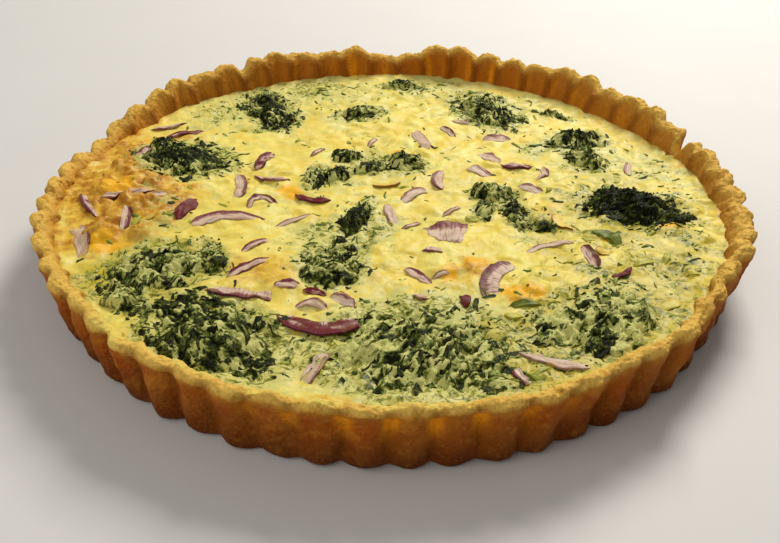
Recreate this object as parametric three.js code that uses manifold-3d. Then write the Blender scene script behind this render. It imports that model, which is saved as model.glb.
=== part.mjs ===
// A whole round quiche: a fluted shortcrust shell filled with baked egg custard,
// with clumps of wilted spinach, slices of red onion and a few bits of leek on top.
// Millimetres, +Z up. The origin is the centre of the flat underside.
import * as THREE from 'three';
import { mergeVertices } from 'three/addons/utils/BufferGeometryUtils.js';
import Module from 'manifold-3d';

const wasm = await Module();
wasm.setup();

// Crust
const RIM_RADIUS = 120;
const FOOT_RADIUS = 116;
const CRUST_HEIGHT = 25;
const RIM_BAND = 5;
const BASE_THICKNESS = 4;
const BASE_INNER_RADIUS = 107;
const WALL_INNER_RADIUS = 112;
const WALL_INNER_LEVEL = 14;
const FLUTES = 60;
const STEPS_PER_FLUTE = 4;
const FLUTE_DEPTH = 3.4;
const FIRST_FLUTE = -9.2;

// Filling
const FILLING_LEVEL = 17;
const FILLING_SLOPE = -0.03;
const FILLING_RINGS = 5;
const CLEARANCE = 0.4;

// Toppings
const SPINACH_STRIP = { long: 12, wide: 3.4, thick: 1.3 };
const SHRED_TOLERANCE = 0.3;
const TOPPING_LIMIT = 107;
const SHORT_EDGE = 0.08;
const ONION_THICKNESS = 1.7;
const FLECK = { long: 5, wide: 1.8, thick: 0.9 };
const FLECK_COUNT = 18;

const DEG = Math.PI / 180;

// Places where the hand-pressed rim departs from a true circle. Angles run from the
// front, anticlockwise seen from above. Lift, outward push and how much thicker the wall
// stands inside are in millimetres.
const RIM_MARKS = [
  { name: 'slumped side', at: -103, half: 7, lift: -4, out: -0.5, thick: 0 },
  { name: 'full left side', at: -76, half: 18, lift: 0, out: 2.6, thick: 0 },
  { name: 'raised side', at: -138, half: 20, lift: 1.8, out: 0, thick: 0 },
  { name: 'folded notch', at: -146.5, half: 1.5, lift: -4, out: -1.5, thick: 0 },
  { name: 'sagging stretch', at: 180, half: 6, lift: -3, out: -0.3, thick: 0 },
  { name: 'raised stretch', at: 169, half: 4.5, lift: 2.6, out: 0.6, thick: 0 },
  { name: 'high shoulder', at: 140, half: 9, lift: 1.8, out: 0.6, thick: 0 },
  { name: 'thick wall', at: 132, half: 28, lift: 0, out: 0, thick: 2.6 },
  { name: 'standing side', at: 120, half: 7, lift: 2.2, out: 0, thick: 0 },
  { name: 'split', at: 107, half: 1.1, lift: -6.5, out: -1.5, thick: 0 },
  { name: 'lobe by the split', at: 101.5, half: 3.5, lift: 1, out: 2, thick: 0 },
  { name: 'full right side', at: 80, half: 14, lift: 0, out: 3.2, thick: 0 },
  { name: 'tucked step', at: 62, half: 4, lift: 0, out: -1.2, thick: 0 },
  { name: 'nick', at: 50.5, half: 1.8, lift: -2.6, out: -1.6, thick: 0 },
  { name: 'proud bump', at: 45, half: 3, lift: 0.8, out: 1.2, thick: 0 },
  { name: 'broad bump', at: -38, half: 4, lift: 0.6, out: 1, thick: 0 },
];

// Lumps and swells of the custard, in millimetres.
const CUSTARD_SWELLS = [
  { at: [-96, -8], half: 28, high: 3.2 },
  { at: [-96, -32], half: 6, high: 1.8 },
  { at: [-82, -31], half: 5, high: 1.4 },
  { at: [-30, -48], half: 14, high: 1.0 },
  { at: [22, -46], half: 12, high: 0.9 },
  { at: [92, -28], half: 13, high: 1.0 },
  { at: [60, 8], half: 14, high: 0.8 },
  { at: [0, 62], half: 18, high: 0.8 },
  { at: [-20, 30], half: 12, high: -0.7 },
  { at: [50, -20], half: 13, high: -0.6 },
  { at: [-80, 74], half: 22, high: 0.8 },
  { at: [0, -104], half: 26, high: 0.8 },
];

// Spinach: each clump is one or more heaps, with a heap's middle, its length along
// `turn` degrees, its width across, its height and how many shreds lie over it.
const SPINACH = [
  [{ at: [-76, 25.5], long: 32, wide: 23, turn: -14, tall: 4.8, shreds: 4 }],
  [
    { at: [-52, 72.5], long: 37, wide: 19, turn: -62, tall: 3.6, shreds: 5 },
    { at: [-48, 57.5], long: 13, wide: 11, turn: 20, tall: 3, shreds: 0 },
  ],
  [{ at: [-14, 69.5], long: 20, wide: 13, turn: 22, tall: 2.8, shreds: 2 }],
  [{ at: [39, 74], long: 36, wide: 24, turn: -70, tall: 3.8, shreds: 5 }],
  [
    { at: [72, 46], long: 23, wide: 16, turn: 8, tall: 4, shreds: 3 },
    { at: [73.5, 31], long: 18, wide: 13, turn: -70, tall: 3.8, shreds: 1 },
  ],
  [{ at: [85, -8], long: 31, wide: 25, turn: -14, tall: 5.8, shreds: 6 }],
  [
    { at: [37, 2], long: 18, wide: 12, turn: -8, tall: 4.2, shreds: 2 },
    { at: [41.5, -9], long: 21, wide: 10, turn: 104, tall: 3.6, shreds: 1 },
  ],
  [
    { at: [-27.5, 14], long: 17, wide: 8, turn: 78, tall: 3.4, shreds: 0 },
    { at: [-21, 15], long: 13, wide: 9, turn: 60, tall: 3.8, shreds: 0 },
  ],
  [{ at: [4.4, 24], long: 18, wide: 14, turn: -8, tall: 2.8, shreds: 2 }],
  [{ at: [-12.6, -17.5], long: 28, wide: 9, turn: 72, tall: 5.2, shreds: 4 }],
  [{ at: [-18, -45], long: 26, wide: 19, turn: 84, tall: 3.8, shreds: 3 }],
  [
    { at: [-73.5, -49], long: 36, wide: 24, turn: 26, tall: 3.6, shreds: 4 },
    { at: [-57, -42], long: 22, wide: 8, turn: -72, tall: 3.4, shreds: 1 },
  ],
  [{ at: [-51, -84], long: 46, wide: 34, turn: -48, tall: 5.2, shreds: 7 }],
  [{ at: [9, -87], long: 46, wide: 40, turn: -8, tall: 4.8, shreds: 8 }],
  [{ at: [61.5, -74], long: 42, wide: 32, turn: 28, tall: 4.2, shreds: 6 }],
  [{ at: [2, 100.5], long: 17, wide: 7, turn: 2, tall: 2.2, shreds: 1 }],
];

// Red onion: middle of the slice, the turn of its chord, its length, how far its middle
// bows to the left of the chord, and its width.
const ONION = [
  { at: [-90.4, 54.5], turn: 27, long: 16, bow: -0.6, wide: 4 },
  { at: [-82.8, 46.7], turn: 31, long: 16.5, bow: 0.4, wide: 3 },
  { at: [-94.5, 30.3], turn: 57, long: 12.2, bow: 0.7, wide: 3.4 },
  { at: [-56.5, 4.9], turn: -84, long: 18.5, bow: 2.1, wide: 4.6 },
  { at: [-70.5, -13.9], turn: 72, long: 15.3, bow: 0.4, wide: 5.8 },
  { at: [-54.9, -21.3], turn: 9, long: 25, bow: 4.2, wide: 5.2 },
  { at: [-93.6, -7.1], turn: 24, long: 21.3, bow: -1, wide: 3.2 },
  { at: [-103.7, -14], turn: -60, long: 18.5, bow: -1.1, wide: 3.4 },
  { at: [-102.2, -35.2], turn: -66, long: 20, bow: 1.4, wide: 5 },
  { at: [-48.5, 25.6], turn: 73, long: 16.2, bow: 0.4, wide: 4.4 },
  { at: [-43.6, 13.4], turn: -13, long: 15.5, bow: -2.9, wide: 3.6 },
  { at: [-45, -9], turn: 21, long: 10.8, bow: 6.6, wide: 2.8 },
  { at: [-28, -1.6], turn: -26, long: 14.2, bow: -3.6, wide: 3.4 },
  { at: [-44.1, -35], turn: 43, long: 11.5, bow: 0.4, wide: 3 },
  { at: [-44, -48.6], turn: 34, long: 17, bow: 1, wide: 3.2 },
  { at: [-47, -61.4], turn: -10, long: 22, bow: -1, wide: 4.6 },
  { at: [-31.4, -58.8], turn: 9, long: 8.5, bow: 0.7, wide: 3.4 },
  { at: [-14.8, -65.9], turn: -31, long: 9.5, bow: 0.9, wide: 4.2 },
  { at: [-23.6, -69], turn: -5, long: 10, bow: 2, wide: 3.2 },
  { at: [-20.2, -73.6], turn: -9, long: 23, bow: -6.3, wide: 7 },
  { at: [-21, -97.5], turn: 70, long: 15, bow: -0.4, wide: 5.2 },
  { at: [10.2, 45.6], turn: -68, long: 17, bow: 0.4, wide: 5 },
  { at: [22, 52.4], turn: -55, long: 10.6, bow: 0.3, wide: 2.4 },
  { at: [41.3, 45.8], turn: -1, long: 10, bow: 1.6, wide: 5.6 },
  { at: [36.4, 30.3], turn: -58, long: 12.6, bow: 0.5, wide: 5.4 },
  { at: [47, 24], turn: -6, long: 12.8, bow: -0.9, wide: 3.6 },
  { at: [54, 18.1], turn: 79, long: 12.8, bow: -2.8, wide: 3 },
  { at: [31.4, 18.9], turn: -41, long: 11.5, bow: 0.6, wide: 5.4 },
  { at: [49.7, 4.3], turn: -35, long: 11, bow: 0.5, wide: 4.2 },
  { at: [19.1, 12.6], turn: 84, long: 15.8, bow: 2.9, wide: 4.6 },
  { at: [8.3, -0.1], turn: 52, long: 15.6, bow: 1.1, wide: 4.6 },
  { at: [0.1, -13.6], turn: -76, long: 14.1, bow: -0.7, wide: 4 },
  { at: [17.5, -25.5], turn: -1, long: 14.5, bow: 0.8, wide: 11.5 },
  { at: [13.3, -36.2], turn: -18, long: 6.6, bow: -0.7, wide: 4 },
  { at: [8.3, -51.7], turn: -46, long: 12.5, bow: 0.5, wide: 3.8 },
  { at: [34.4, -54.1], turn: 66, long: 18.8, bow: 3.6, wide: 6.5 },
  { at: [51.1, -34.6], turn: 26, long: 20, bow: 2.4, wide: 3 },
  { at: [63.8, -39.2], turn: -76, long: 12.8, bow: 0.4, wide: 4.2 },
  { at: [71.9, -48.4], turn: 34, long: 8.4, bow: -1.2, wide: 3.2 },
  { at: [45.5, -91], turn: -20, long: 24, bow: -2.4, wide: 4.2 },
];

// Leek: the same measures as the onion.
const LEEK = [
  { at: [71, -28.3], turn: -39, long: 11, bow: 2, wide: 4 },
  { at: [59.4, -15.9], turn: -74, long: 12.7, bow: -2.8, wide: 3.6 },
];

// A repeatable stream of random numbers from 0 to 1.
function stream(seed) {
  let s = seed;
  return () => {
    s = (s * 1664525 + 1013904223) % 4294967296;
    return s / 4294967296;
  };
}

function swing(random, amount) {
  return (random() * 2 - 1) * amount;
}

function bell(distance, half) {
  return Math.exp(-((distance / half) ** 2));
}

function angleBetween(a, b) {
  return ((((a - b) % 360) + 540) % 360) - 180;
}

// Point at an angle from the front, in degrees, and a distance from the middle.
function polar(angle, radius, z) {
  return [radius * Math.sin(angle * DEG), -radius * Math.cos(angle * DEG), z];
}

// Each flute is pressed a little differently.
function makeFlutes() {
  const random = stream(71);
  const flutes = [];
  for (let i = 0; i < FLUTES; i += 1) {
    flutes.push({
      depth: FLUTE_DEPTH * (1 + swing(random, 0.22)),
      lift: swing(random, 0.8),
      out: swing(random, 0.6),
      lean: swing(random, 0.7),
    });
  }
  return flutes;
}

const flutes = makeFlutes();

function rimMarks(angle) {
  const sum = { lift: 0, out: 0, thick: 0 };
  for (const mark of RIM_MARKS) {
    const weight = bell(angleBetween(angle, mark.at), mark.half);
    sum.lift += mark.lift * weight;
    sum.out += mark.out * weight;
    sum.thick += mark.thick * weight;
  }
  return sum;
}

// The wall's section at one step round the crust, from the underside's edge over the
// rim and down to the edge of the inner base. Each point is [radius, height].
function crustSection(step) {
  const flute = flutes[Math.floor(step / STEPS_PER_FLUTE) % FLUTES];
  const phase = (step % STEPS_PER_FLUTE) / STEPS_PER_FLUTE;
  const bump = Math.sin(Math.PI * phase) ** 0.7;
  const angle = FIRST_FLUTE + ((step - STEPS_PER_FLUTE / 2) * 360) / (FLUTES * STEPS_PER_FLUTE);
  const mark = rimMarks(angle);
  const groove = flute.depth * (1 - bump);
  const lift = mark.lift + flute.lift * bump - 0.5 * (1 - bump);
  const out = mark.out + flute.out * bump;
  const outer = (height, share) => {
    const t = height / CRUST_HEIGHT;
    return FOOT_RADIUS + (RIM_RADIUS - FOOT_RADIUS) * t + out * t - groove * share;
  };
  const top = CRUST_HEIGHT + lift;
  return {
    angle,
    points: [
      [outer(0, 0.8) - 2.6, 0],
      [outer(2, 0.9), 1.8],
      [outer(12, 1) + flute.lean * bump, 12],
      [outer(21, 1), 21 + lift * 0.7],
      [outer(25, 0.66) - 1, top - 0.8],
      [outer(25, 0.4) - 0.45 * RIM_BAND, top],
      [RIM_RADIUS - RIM_BAND + 0.8 * out - groove * 0.6, top - 1.4],
      [WALL_INNER_RADIUS + 0.5 * out - mark.thick - groove * 0.4, WALL_INNER_LEVEL],
      [BASE_INNER_RADIUS, BASE_THICKNESS],
    ],
  };
}

// A closed mesh from rings of equal length joined in order, with a centre point closing
// the first and the last ring.
function ringsMesh(rings, firstCentre, lastCentre) {
  const count = rings[0].length;
  const vertices = rings.flat();
  const first = vertices.push(firstCentre) - 1;
  const last = vertices.push(lastCentre) - 1;
  const faces = [];
  for (let k = 0; k < rings.length - 1; k += 1) {
    for (let i = 0; i < count; i += 1) {
      const j = (i + 1) % count;
      const a = k * count + i;
      const b = k * count + j;
      const c = a + count;
      const d = b + count;
      faces.push([a, b, d], [a, d, c]);
    }
  }
  const end = (rings.length - 1) * count;
  for (let i = 0; i < count; i += 1) {
    const j = (i + 1) % count;
    faces.push([first, j, i], [last, end + i, end + j]);
  }
  return geometryOf(vertices, faces);
}

function geometryOf(vertices, faces) {
  const geometry = new THREE.BufferGeometry();
  geometry.setAttribute('position', new THREE.Float32BufferAttribute(vertices.flat(), 3));
  geometry.setIndex(faces.flat());
  return geometry;
}

function crustGeometry() {
  const sections = [];
  for (let step = 0; step < FLUTES * STEPS_PER_FLUTE; step += 1) {
    sections.push(crustSection(step));
  }
  const rings = sections[0].points.map((point, k) =>
    sections.map(({ angle, points }) => polar(angle, points[k][0], points[k][1])));
  return ringsMesh(rings, [0, 0, 0], [0, 0, BASE_THICKNESS]);
}

// Height of the custard's skin.
function surface(x, y) {
  let z = FILLING_LEVEL + FILLING_SLOPE * y;
  for (const swell of CUSTARD_SWELLS) {
    z += swell.high * bell(Math.hypot(x - swell.at[0], y - swell.at[1]), swell.half);
  }
  return z;
}

// Inner face of the crust at an angle and height, at its tightest over a step to each
// side.
function crustInside(angle, z) {
  const stepAngle = 360 / (FLUTES * STEPS_PER_FLUTE);
  const middle = Math.round((angle - FIRST_FLUTE) / stepAngle + STEPS_PER_FLUTE / 2);
  let radius = RIM_RADIUS;
  for (let i = middle - 1; i <= middle + 1; i += 1) {
    const total = FLUTES * STEPS_PER_FLUTE;
    const { points } = crustSection(((i % total) + total) % total);
    const [rimEdge, wall] = [points[6], points[7]];
    const t = Math.min(1, (z - wall[1]) / (rimEdge[1] - wall[1]));
    radius = Math.min(radius, wall[0] + (rimEdge[0] - wall[0]) * t);
  }
  return radius;
}

function fillingEdge(angle) {
  let radius = WALL_INNER_RADIUS;
  for (let i = 0; i < 3; i += 1) {
    const [x, y] = polar(angle, radius, 0);
    radius = crustInside(angle, surface(x, y)) - CLEARANCE;
  }
  return radius;
}

// The filling follows the flutes: its edge has a point in each groove and on each bump.
function fillingGeometry() {
  const pitch = 180 / FLUTES;
  const angles = Array.from({ length: 2 * FLUTES }, (_, i) => FIRST_FLUTE + (i - 1) * pitch);
  const edges = angles.map(fillingEdge);
  const underside = BASE_THICKNESS + CLEARANCE;
  const beside = (angle) => crustInside(angle, WALL_INNER_LEVEL) - CLEARANCE;
  const rings = [
    angles.map((angle) => polar(angle, BASE_INNER_RADIUS - CLEARANCE, underside)),
    angles.map((angle) => polar(angle, beside(angle), WALL_INNER_LEVEL)),
  ];
  for (let k = FILLING_RINGS; k >= 1; k -= 1) {
    const share = k / FILLING_RINGS;
    rings.push(angles.map((angle, i) => {
      const [x, y] = polar(angle, edges[i] * share, 0);
      return [x, y, surface(x, y)];
    }));
  }
  return ringsMesh(rings, [0, 0, underside], [0, 0, surface(0, 0)]);
}

function onPlan(at, turn, along, across) {
  const c = Math.cos(turn * DEG);
  const s = Math.sin(turn * DEG);
  return [at[0] + along * c - across * s, at[1] + along * s + across * c];
}

// A point pulled in, where needed, to stay this far from the middle or less.
function pulledIn([x, y], limit) {
  const inward = Math.min(1, limit / Math.hypot(x, y));
  return [x * inward, y * inward];
}

// A heap: an uneven mound whose underside is sunk in the custard. `grow` makes
// the slightly larger shape that clears its bed.
function moundGeometry(heap, grow) {
  const random = stream(900 + Math.round(heap.long * 7 + heap.turn));
  const sides = heap.long > 25 ? 10 : 7;
  const spokes = [];
  for (let i = 0; i < sides; i += 1) {
    const angle = (i + swing(random, 0.25)) * (360 / sides);
    const reach = 0.86 + swing(random, 0.16);
    spokes.push({ angle: angle * DEG, reach, lift: swing(random, 0.3) });
  }
  const [cx, cy] = heap.at;
  const floor = surface(cx, cy) - 2.2 - grow;
  const ringAt = (share, height) => spokes.map((spoke) => {
    const along = Math.cos(spoke.angle) * (heap.long * 0.5 * spoke.reach * share + grow);
    const across = Math.sin(spoke.angle) * (heap.wide * 0.5 * spoke.reach * share + grow);
    const [x, y] = pulledIn(onPlan(heap.at, heap.turn, along, across), TOPPING_LIMIT + grow);
    return [x, y, height === null ? floor : surface(x, y) + height * (1 + spoke.lift) + grow];
  });
  const rings = [ringAt(0.8, null), ringAt(1, 0.5), ringAt(0.6, heap.tall * 0.8)];
  return ringsMesh(rings, [cx, cy, floor], [cx, cy, surface(cx, cy) + heap.tall * 0.9 + grow]);
}

// A strip lying along a path of [x, y, z] points, with a three-sided section: flat
// below and ridged above, narrowing towards both ends.
function stripGeometry(path, wide, thick) {
  const rings = path.map((point, i) => {
    const before = path[Math.max(0, i - 1)];
    const after = path[Math.min(path.length - 1, i + 1)];
    const run = Math.hypot(after[0] - before[0], after[1] - before[1]);
    const side = [-(after[1] - before[1]) / run, (after[0] - before[0]) / run];
    const end = i === 0 || i === path.length - 1;
    const half = wide * (end ? 0.24 : 0.5);
    const [x, y, z] = point;
    return [
      [x + side[0] * half, y + side[1] * half, z],
      [x - side[0] * half, y - side[1] * half, z],
      [x + side[0] * half * 0.3, y + side[1] * half * 0.3, z + thick * (end ? 0.5 : 1)],
    ];
  });
  return loftGeometry(rings);
}

// A solid through equal rings of points, with a flat fan over each end.
function loftGeometry(rings) {
  const count = rings[0].length;
  const vertices = rings.flat();
  const faces = [];
  for (let k = 0; k < rings.length - 1; k += 1) {
    for (let i = 0; i < count; i += 1) {
      const j = (i + 1) % count;
      const a = k * count + i;
      const b = k * count + j;
      faces.push([a, b + count, b], [a, a + count, b + count]);
    }
  }
  const end = (rings.length - 1) * count;
  for (let i = 1; i < count - 1; i += 1) {
    faces.push([0, i, i + 1], [end, end + i + 1, end + i]);
  }
  return geometryOf(vertices, faces);
}

// A shred runs over its heap and a little past the edge, and keeps clear of the crust.
function shredGeometry(heap, random) {
  const spoke = random() * 360;
  const reach = 0.25 + 0.55 * Math.sqrt(random());
  const middleAlong = Math.cos(spoke * DEG) * heap.long * 0.5 * reach;
  const middleAcross = Math.sin(spoke * DEG) * heap.wide * 0.5 * reach;
  const heading = spoke + swing(random, 70);
  const half = 0.5 * SPINACH_STRIP.long * (0.75 + 0.5 * random());
  const hump = heap.tall * (1.05 - 0.55 * reach) - 0.6;
  const path = [-1, 0, 1].map((s) => {
    const along = middleAlong + Math.cos(heading * DEG) * half * s;
    const across = middleAcross + Math.sin(heading * DEG) * half * s;
    const [x, y] = pulledIn(onPlan(heap.at, heap.turn, along, across), TOPPING_LIMIT - 2);
    const edge = Math.hypot(along / (heap.long * 0.5), across / (heap.wide * 0.5));
    const height = Math.max(0.5, hump * (1.25 - edge) + (s === 0 ? 0.9 : 0.1));
    return [x, y, surface(x, y) + height];
  });
  return stripGeometry(path, SPINACH_STRIP.wide * (0.8 + 0.5 * random()), SPINACH_STRIP.thick);
}

function solidOf(geometry) {
  const merged = mergeVertices(geometry, 1e-5);
  return new wasm.Manifold(new wasm.Mesh({
    numProp: 3,
    vertProperties: new Float32Array(merged.attributes.position.array),
    triVerts: new Uint32Array(merged.index.array),
  }));
}

// The mesh of a joined solid, with its edges shorter than SHORT_EDGE closed up.
function geometryFrom(solid) {
  const { vertProperties, triVerts } = solid.getMesh();
  const corner = (i) => [0, 1, 2].map((k) => vertProperties[i * 3 + k]);
  const joinedTo = Array.from({ length: vertProperties.length / 3 }, (_, i) => i);
  const root = (i) => (joinedTo[i] === i ? i : root(joinedTo[i]));
  for (let i = 0; i < triVerts.length; i += 1) {
    const next = i % 3 === 2 ? i - 2 : i + 1;
    const a = root(triVerts[i]);
    const b = root(triVerts[next]);
    const [from, to] = [corner(a), corner(b)];
    if (a !== b && Math.hypot(from[0] - to[0], from[1] - to[1], from[2] - to[2]) < SHORT_EDGE) {
      joinedTo[b] = a;
    }
  }
  const faces = [];
  for (let i = 0; i < triVerts.length; i += 3) {
    const face = [0, 1, 2].map((k) => root(triVerts[i + k]));
    if (new Set(face).size === 3) {
      faces.push(face);
    }
  }
  const used = [...new Set(faces.flat())];
  const place = new Map(used.map((v, i) => [v, i]));
  return geometryOf(used.map(corner), faces.map((face) => face.map((v) => place.get(v))));
}

// Keeps the largest piece of a solid and drops loose scraps.
function largest(solid) {
  return solid.decompose().reduce((a, b) => (b.volume() > a.volume() ? b : a));
}

function spinachSolid(heaps, index) {
  const random = stream(300 + index * 23);
  const shapes = heaps.flatMap((heap) => [
    moundGeometry(heap, 0),
    ...Array.from({ length: heap.shreds }, () => shredGeometry(heap, random)),
  ]);
  const solid = shapes.map(solidOf).reduce((whole, shape) => whole.add(shape));
  return largest(solid.simplify(SHRED_TOLERANCE));
}

// A slice of one onion layer: a bowed strip, slightly dished, lying on the custard.
// `grow` makes the slightly larger shape that clears its neighbours.
function sliceGeometry(slice, grow) {
  const stations = slice.long > 14 ? 6 : 5;
  const rings = [];
  for (let i = 0; i < stations; i += 1) {
    const s = (i / (stations - 1)) * 2 - 1;
    const along = s * (slice.long * 0.5 + grow);
    const across = slice.bow * (1 - s * s);
    const slope = (-2 * slice.bow * s) / (slice.long * 0.5);
    const run = Math.hypot(1, slope);
    const half = slice.wide * 0.5 * (1 - 0.62 * s ** 4) + grow;
    const edge = (side, height) => {
      const [x, y] = onPlan(slice.at, slice.turn,
        along - (slope / run) * half * side, across + (half * side) / run);
      return [x, y, surface(x, y) + height];
    };
    const low = CLEARANCE - grow;
    const thick = ONION_THICKNESS * (1 - 0.4 * s ** 4) + grow * 2;
    rings.push([edge(1, low), edge(-1, low), edge(-0.8, low + thick), edge(0.8, low + thick * 0.8)]);
  }
  return loftGeometry(rings);
}

// True where a point in plan is covered by a clump or a slice, with a margin.
function covered(x, y, margin) {
  const inHeap = SPINACH.flat().some((heap) => {
    const dx = x - heap.at[0];
    const dy = y - heap.at[1];
    const c = Math.cos(heap.turn * DEG);
    const s = Math.sin(heap.turn * DEG);
    const along = (dx * c + dy * s) / (heap.long * 0.5 + margin + 3);
    const across = (dy * c - dx * s) / (heap.wide * 0.5 + margin + 3);
    return Math.hypot(along, across) < 1;
  });
  const inSlice = [...ONION, ...LEEK].some((slice) =>
    Math.hypot(x - slice.at[0], y - slice.at[1]) < slice.long * 0.5 + margin);
  return inHeap || inSlice;
}

// Shreds too small to be pieces of their own are baked into the custard's skin.
function fleckGeometries() {
  const random = stream(52);
  const flecks = [];
  for (let i = 0; flecks.length < FLECK_COUNT && i < 4000; i += 1) {
    const [x, y] = polar(random() * 360, 101 * Math.sqrt(random()), 0);
    const turn = random() * 360;
    if (!covered(x, y, 3.5) && !flecks.some((f) => Math.hypot(f.x - x, f.y - y) < 9)) {
      const path = [-0.5, 0, 0.5].map((s) => {
        const [px, py] = onPlan([x, y], turn, s * FLECK.long, (s === 0 ? 0.5 : 0));
        return [px, py, surface(px, py) - 0.35];
      });
      flecks.push({ x, y, geometry: stripGeometry(path, FLECK.wide, FLECK.thick + 0.35) });
    }
  }
  return flecks.map((fleck) => fleck.geometry);
}

function fillingSolid() {
  let solid = solidOf(fillingGeometry());
  for (const heap of SPINACH.flat()) {
    solid = solid.subtract(solidOf(moundGeometry(heap, CLEARANCE)));
  }
  for (const geometry of fleckGeometries()) {
    solid = solid.add(solidOf(geometry));
  }
  return largest(solid);
}

function crustMaterial() {
  return new THREE.MeshStandardMaterial({ color: 0xd09a4e, roughness: 0.78, metalness: 0 });
}

function custardMaterial() {
  return new THREE.MeshStandardMaterial({ color: 0xe9cf6c, roughness: 0.5, metalness: 0 });
}

function spinachMaterial() {
  return new THREE.MeshStandardMaterial({ color: 0x2f4a26, roughness: 0.6, metalness: 0 });
}

function onionMaterial() {
  return new THREE.MeshStandardMaterial({ color: 0xa5728a, roughness: 0.45, metalness: 0 });
}

function leekMaterial() {
  return new THREE.MeshStandardMaterial({ color: 0xa9a94e, roughness: 0.5, metalness: 0 });
}

function named(name, geometry, material) {
  const mesh = new THREE.Mesh(geometry, material);
  mesh.name = name;
  return mesh;
}

function numbered(stem, index) {
  return `${stem}_${String(index + 1).padStart(2, '0')}`;
}

function buildQuiche() {
  const quiche = new THREE.Group();
  quiche.add(named('crust', geometryFrom(solidOf(crustGeometry())), crustMaterial()));
  quiche.add(named('filling', geometryFrom(fillingSolid()), custardMaterial()));
  SPINACH.forEach((heaps, i) => {
    const geometry = geometryFrom(spinachSolid(heaps, i));
    quiche.add(named(numbered('spinach', i), geometry, spinachMaterial()));
  });
  ONION.forEach((slice, i) => {
    const geometry = geometryFrom(solidOf(sliceGeometry(slice, 0)));
    quiche.add(named(numbered('onion', i), geometry, onionMaterial()));
  });
  LEEK.forEach((slice, i) => {
    const geometry = geometryFrom(solidOf(sliceGeometry(slice, 0)));
    quiche.add(named(numbered('leek', i), geometry, leekMaterial()));
  });
  return quiche;
}

export default buildQuiche();
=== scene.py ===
import math

import bpy
import numpy as np
from mathutils import Matrix, Vector


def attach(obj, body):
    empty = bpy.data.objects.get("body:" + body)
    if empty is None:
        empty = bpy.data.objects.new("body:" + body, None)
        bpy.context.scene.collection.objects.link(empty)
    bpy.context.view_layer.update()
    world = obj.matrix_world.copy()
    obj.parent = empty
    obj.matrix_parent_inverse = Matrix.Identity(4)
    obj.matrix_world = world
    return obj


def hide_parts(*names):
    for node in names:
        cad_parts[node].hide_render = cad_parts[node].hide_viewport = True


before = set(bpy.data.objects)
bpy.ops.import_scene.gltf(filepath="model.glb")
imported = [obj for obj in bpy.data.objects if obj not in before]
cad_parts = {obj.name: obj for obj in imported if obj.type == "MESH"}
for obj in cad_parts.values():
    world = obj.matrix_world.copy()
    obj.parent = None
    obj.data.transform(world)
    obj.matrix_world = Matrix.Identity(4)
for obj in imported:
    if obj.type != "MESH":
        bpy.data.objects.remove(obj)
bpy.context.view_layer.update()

MM = 0.001

# Crust, in millimetres and degrees; the girth is the way round its rim.
RIM_RADIUS = 120.0
FOOT_RADIUS = 116.0
CRUST_HEIGHT = 25.0
RIM_BAND = 5.0
BASE_THICKNESS = 4.0
BASE_INNER_RADIUS = 107.0
WALL_INNER_RADIUS = 112.0
WALL_INNER_LEVEL = 14.0
FLUTES = 60
STEPS_PER_FLUTE = 22
FLUTE_DEPTH = 3.4
FIRST_FLUTE = -9.2
GIRTH = 754.0

# Filling
FILLING_LEVEL = 17.0
FILLING_SLOPE = -0.03
CUSTARD_CELLS = 302
CUSTARD_SPAN = 234.0
CUSTARD_FLOOR = 5.0
INTO_CRUST = 2.2

# Toppings
ONION_THICKNESS = 0.95
LEEK_THICKNESS = 1.1
SLIVER_THICKNESS = 0.9
SLICE_CUTS = 13
SLIVER_CUTS = 7
HEAP_CELL = 0.5
HEAP_SPREAD = 1.5
SKIRT = 2.0
FLECK_TRIES = 15000
FLECK_REACH = 109

# Where the hand-pressed rim departs from a true circle: angle from the front, half
# width in degrees, lift, outward push and how much thicker it stands, in millimetres.
RIM_MARKS = [
    (-105, 9, -4, -0.3, 0), (-118, 4, -1.6, 0, 0), (-72, 15, 0, 2.4, 0), (-97, 3, 0, 1.2, 0),
    (-138, 20, 1.8, 0, 0), (-145.4, 1.4, -4, -1.5, 0), (-152, 5, 1.4, 0, 0), (180, 6, -3, -0.3, 0),
    (169, 4.5, 2.6, 0.6, 0), (140, 9, 1.8, 0.6, 0), (132, 28, 0, 0, 2.6), (120, 7, 2.2, 0, 0),
    (107, 1.1, -6.5, -1.5, 0), (101.5, 3.5, 1, 2, 0), (80, 14, 0, 3.2, 0), (70, 3, 0, 1.6, 0),
    (62, 4, 0, -1.2, 0), (50.5, 1.8, -2.6, -1.6, 0), (45, 3, 0.8, 1.2, 0), (-38, 4, 0.6, 1, 0),
]

# Lumps and swells of the custard: middle, reach and height.
CUSTARD_SWELLS = [
    (-96, -8, 28, 3.2), (-96, -32, 6, 1.8), (-82, -31, 5, 1.4), (-30, -48, 14, 1.0),
    (22, -46, 12, 0.9), (92, -28, 13, 1.0), (60, 8, 14, 0.8), (0, 62, 18, 0.8),
    (-20, 30, 12, -0.7), (50, -20, 13, -0.6), (-80, 74, 22, 0.8), (0, -104, 26, 0.8),
]

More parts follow.
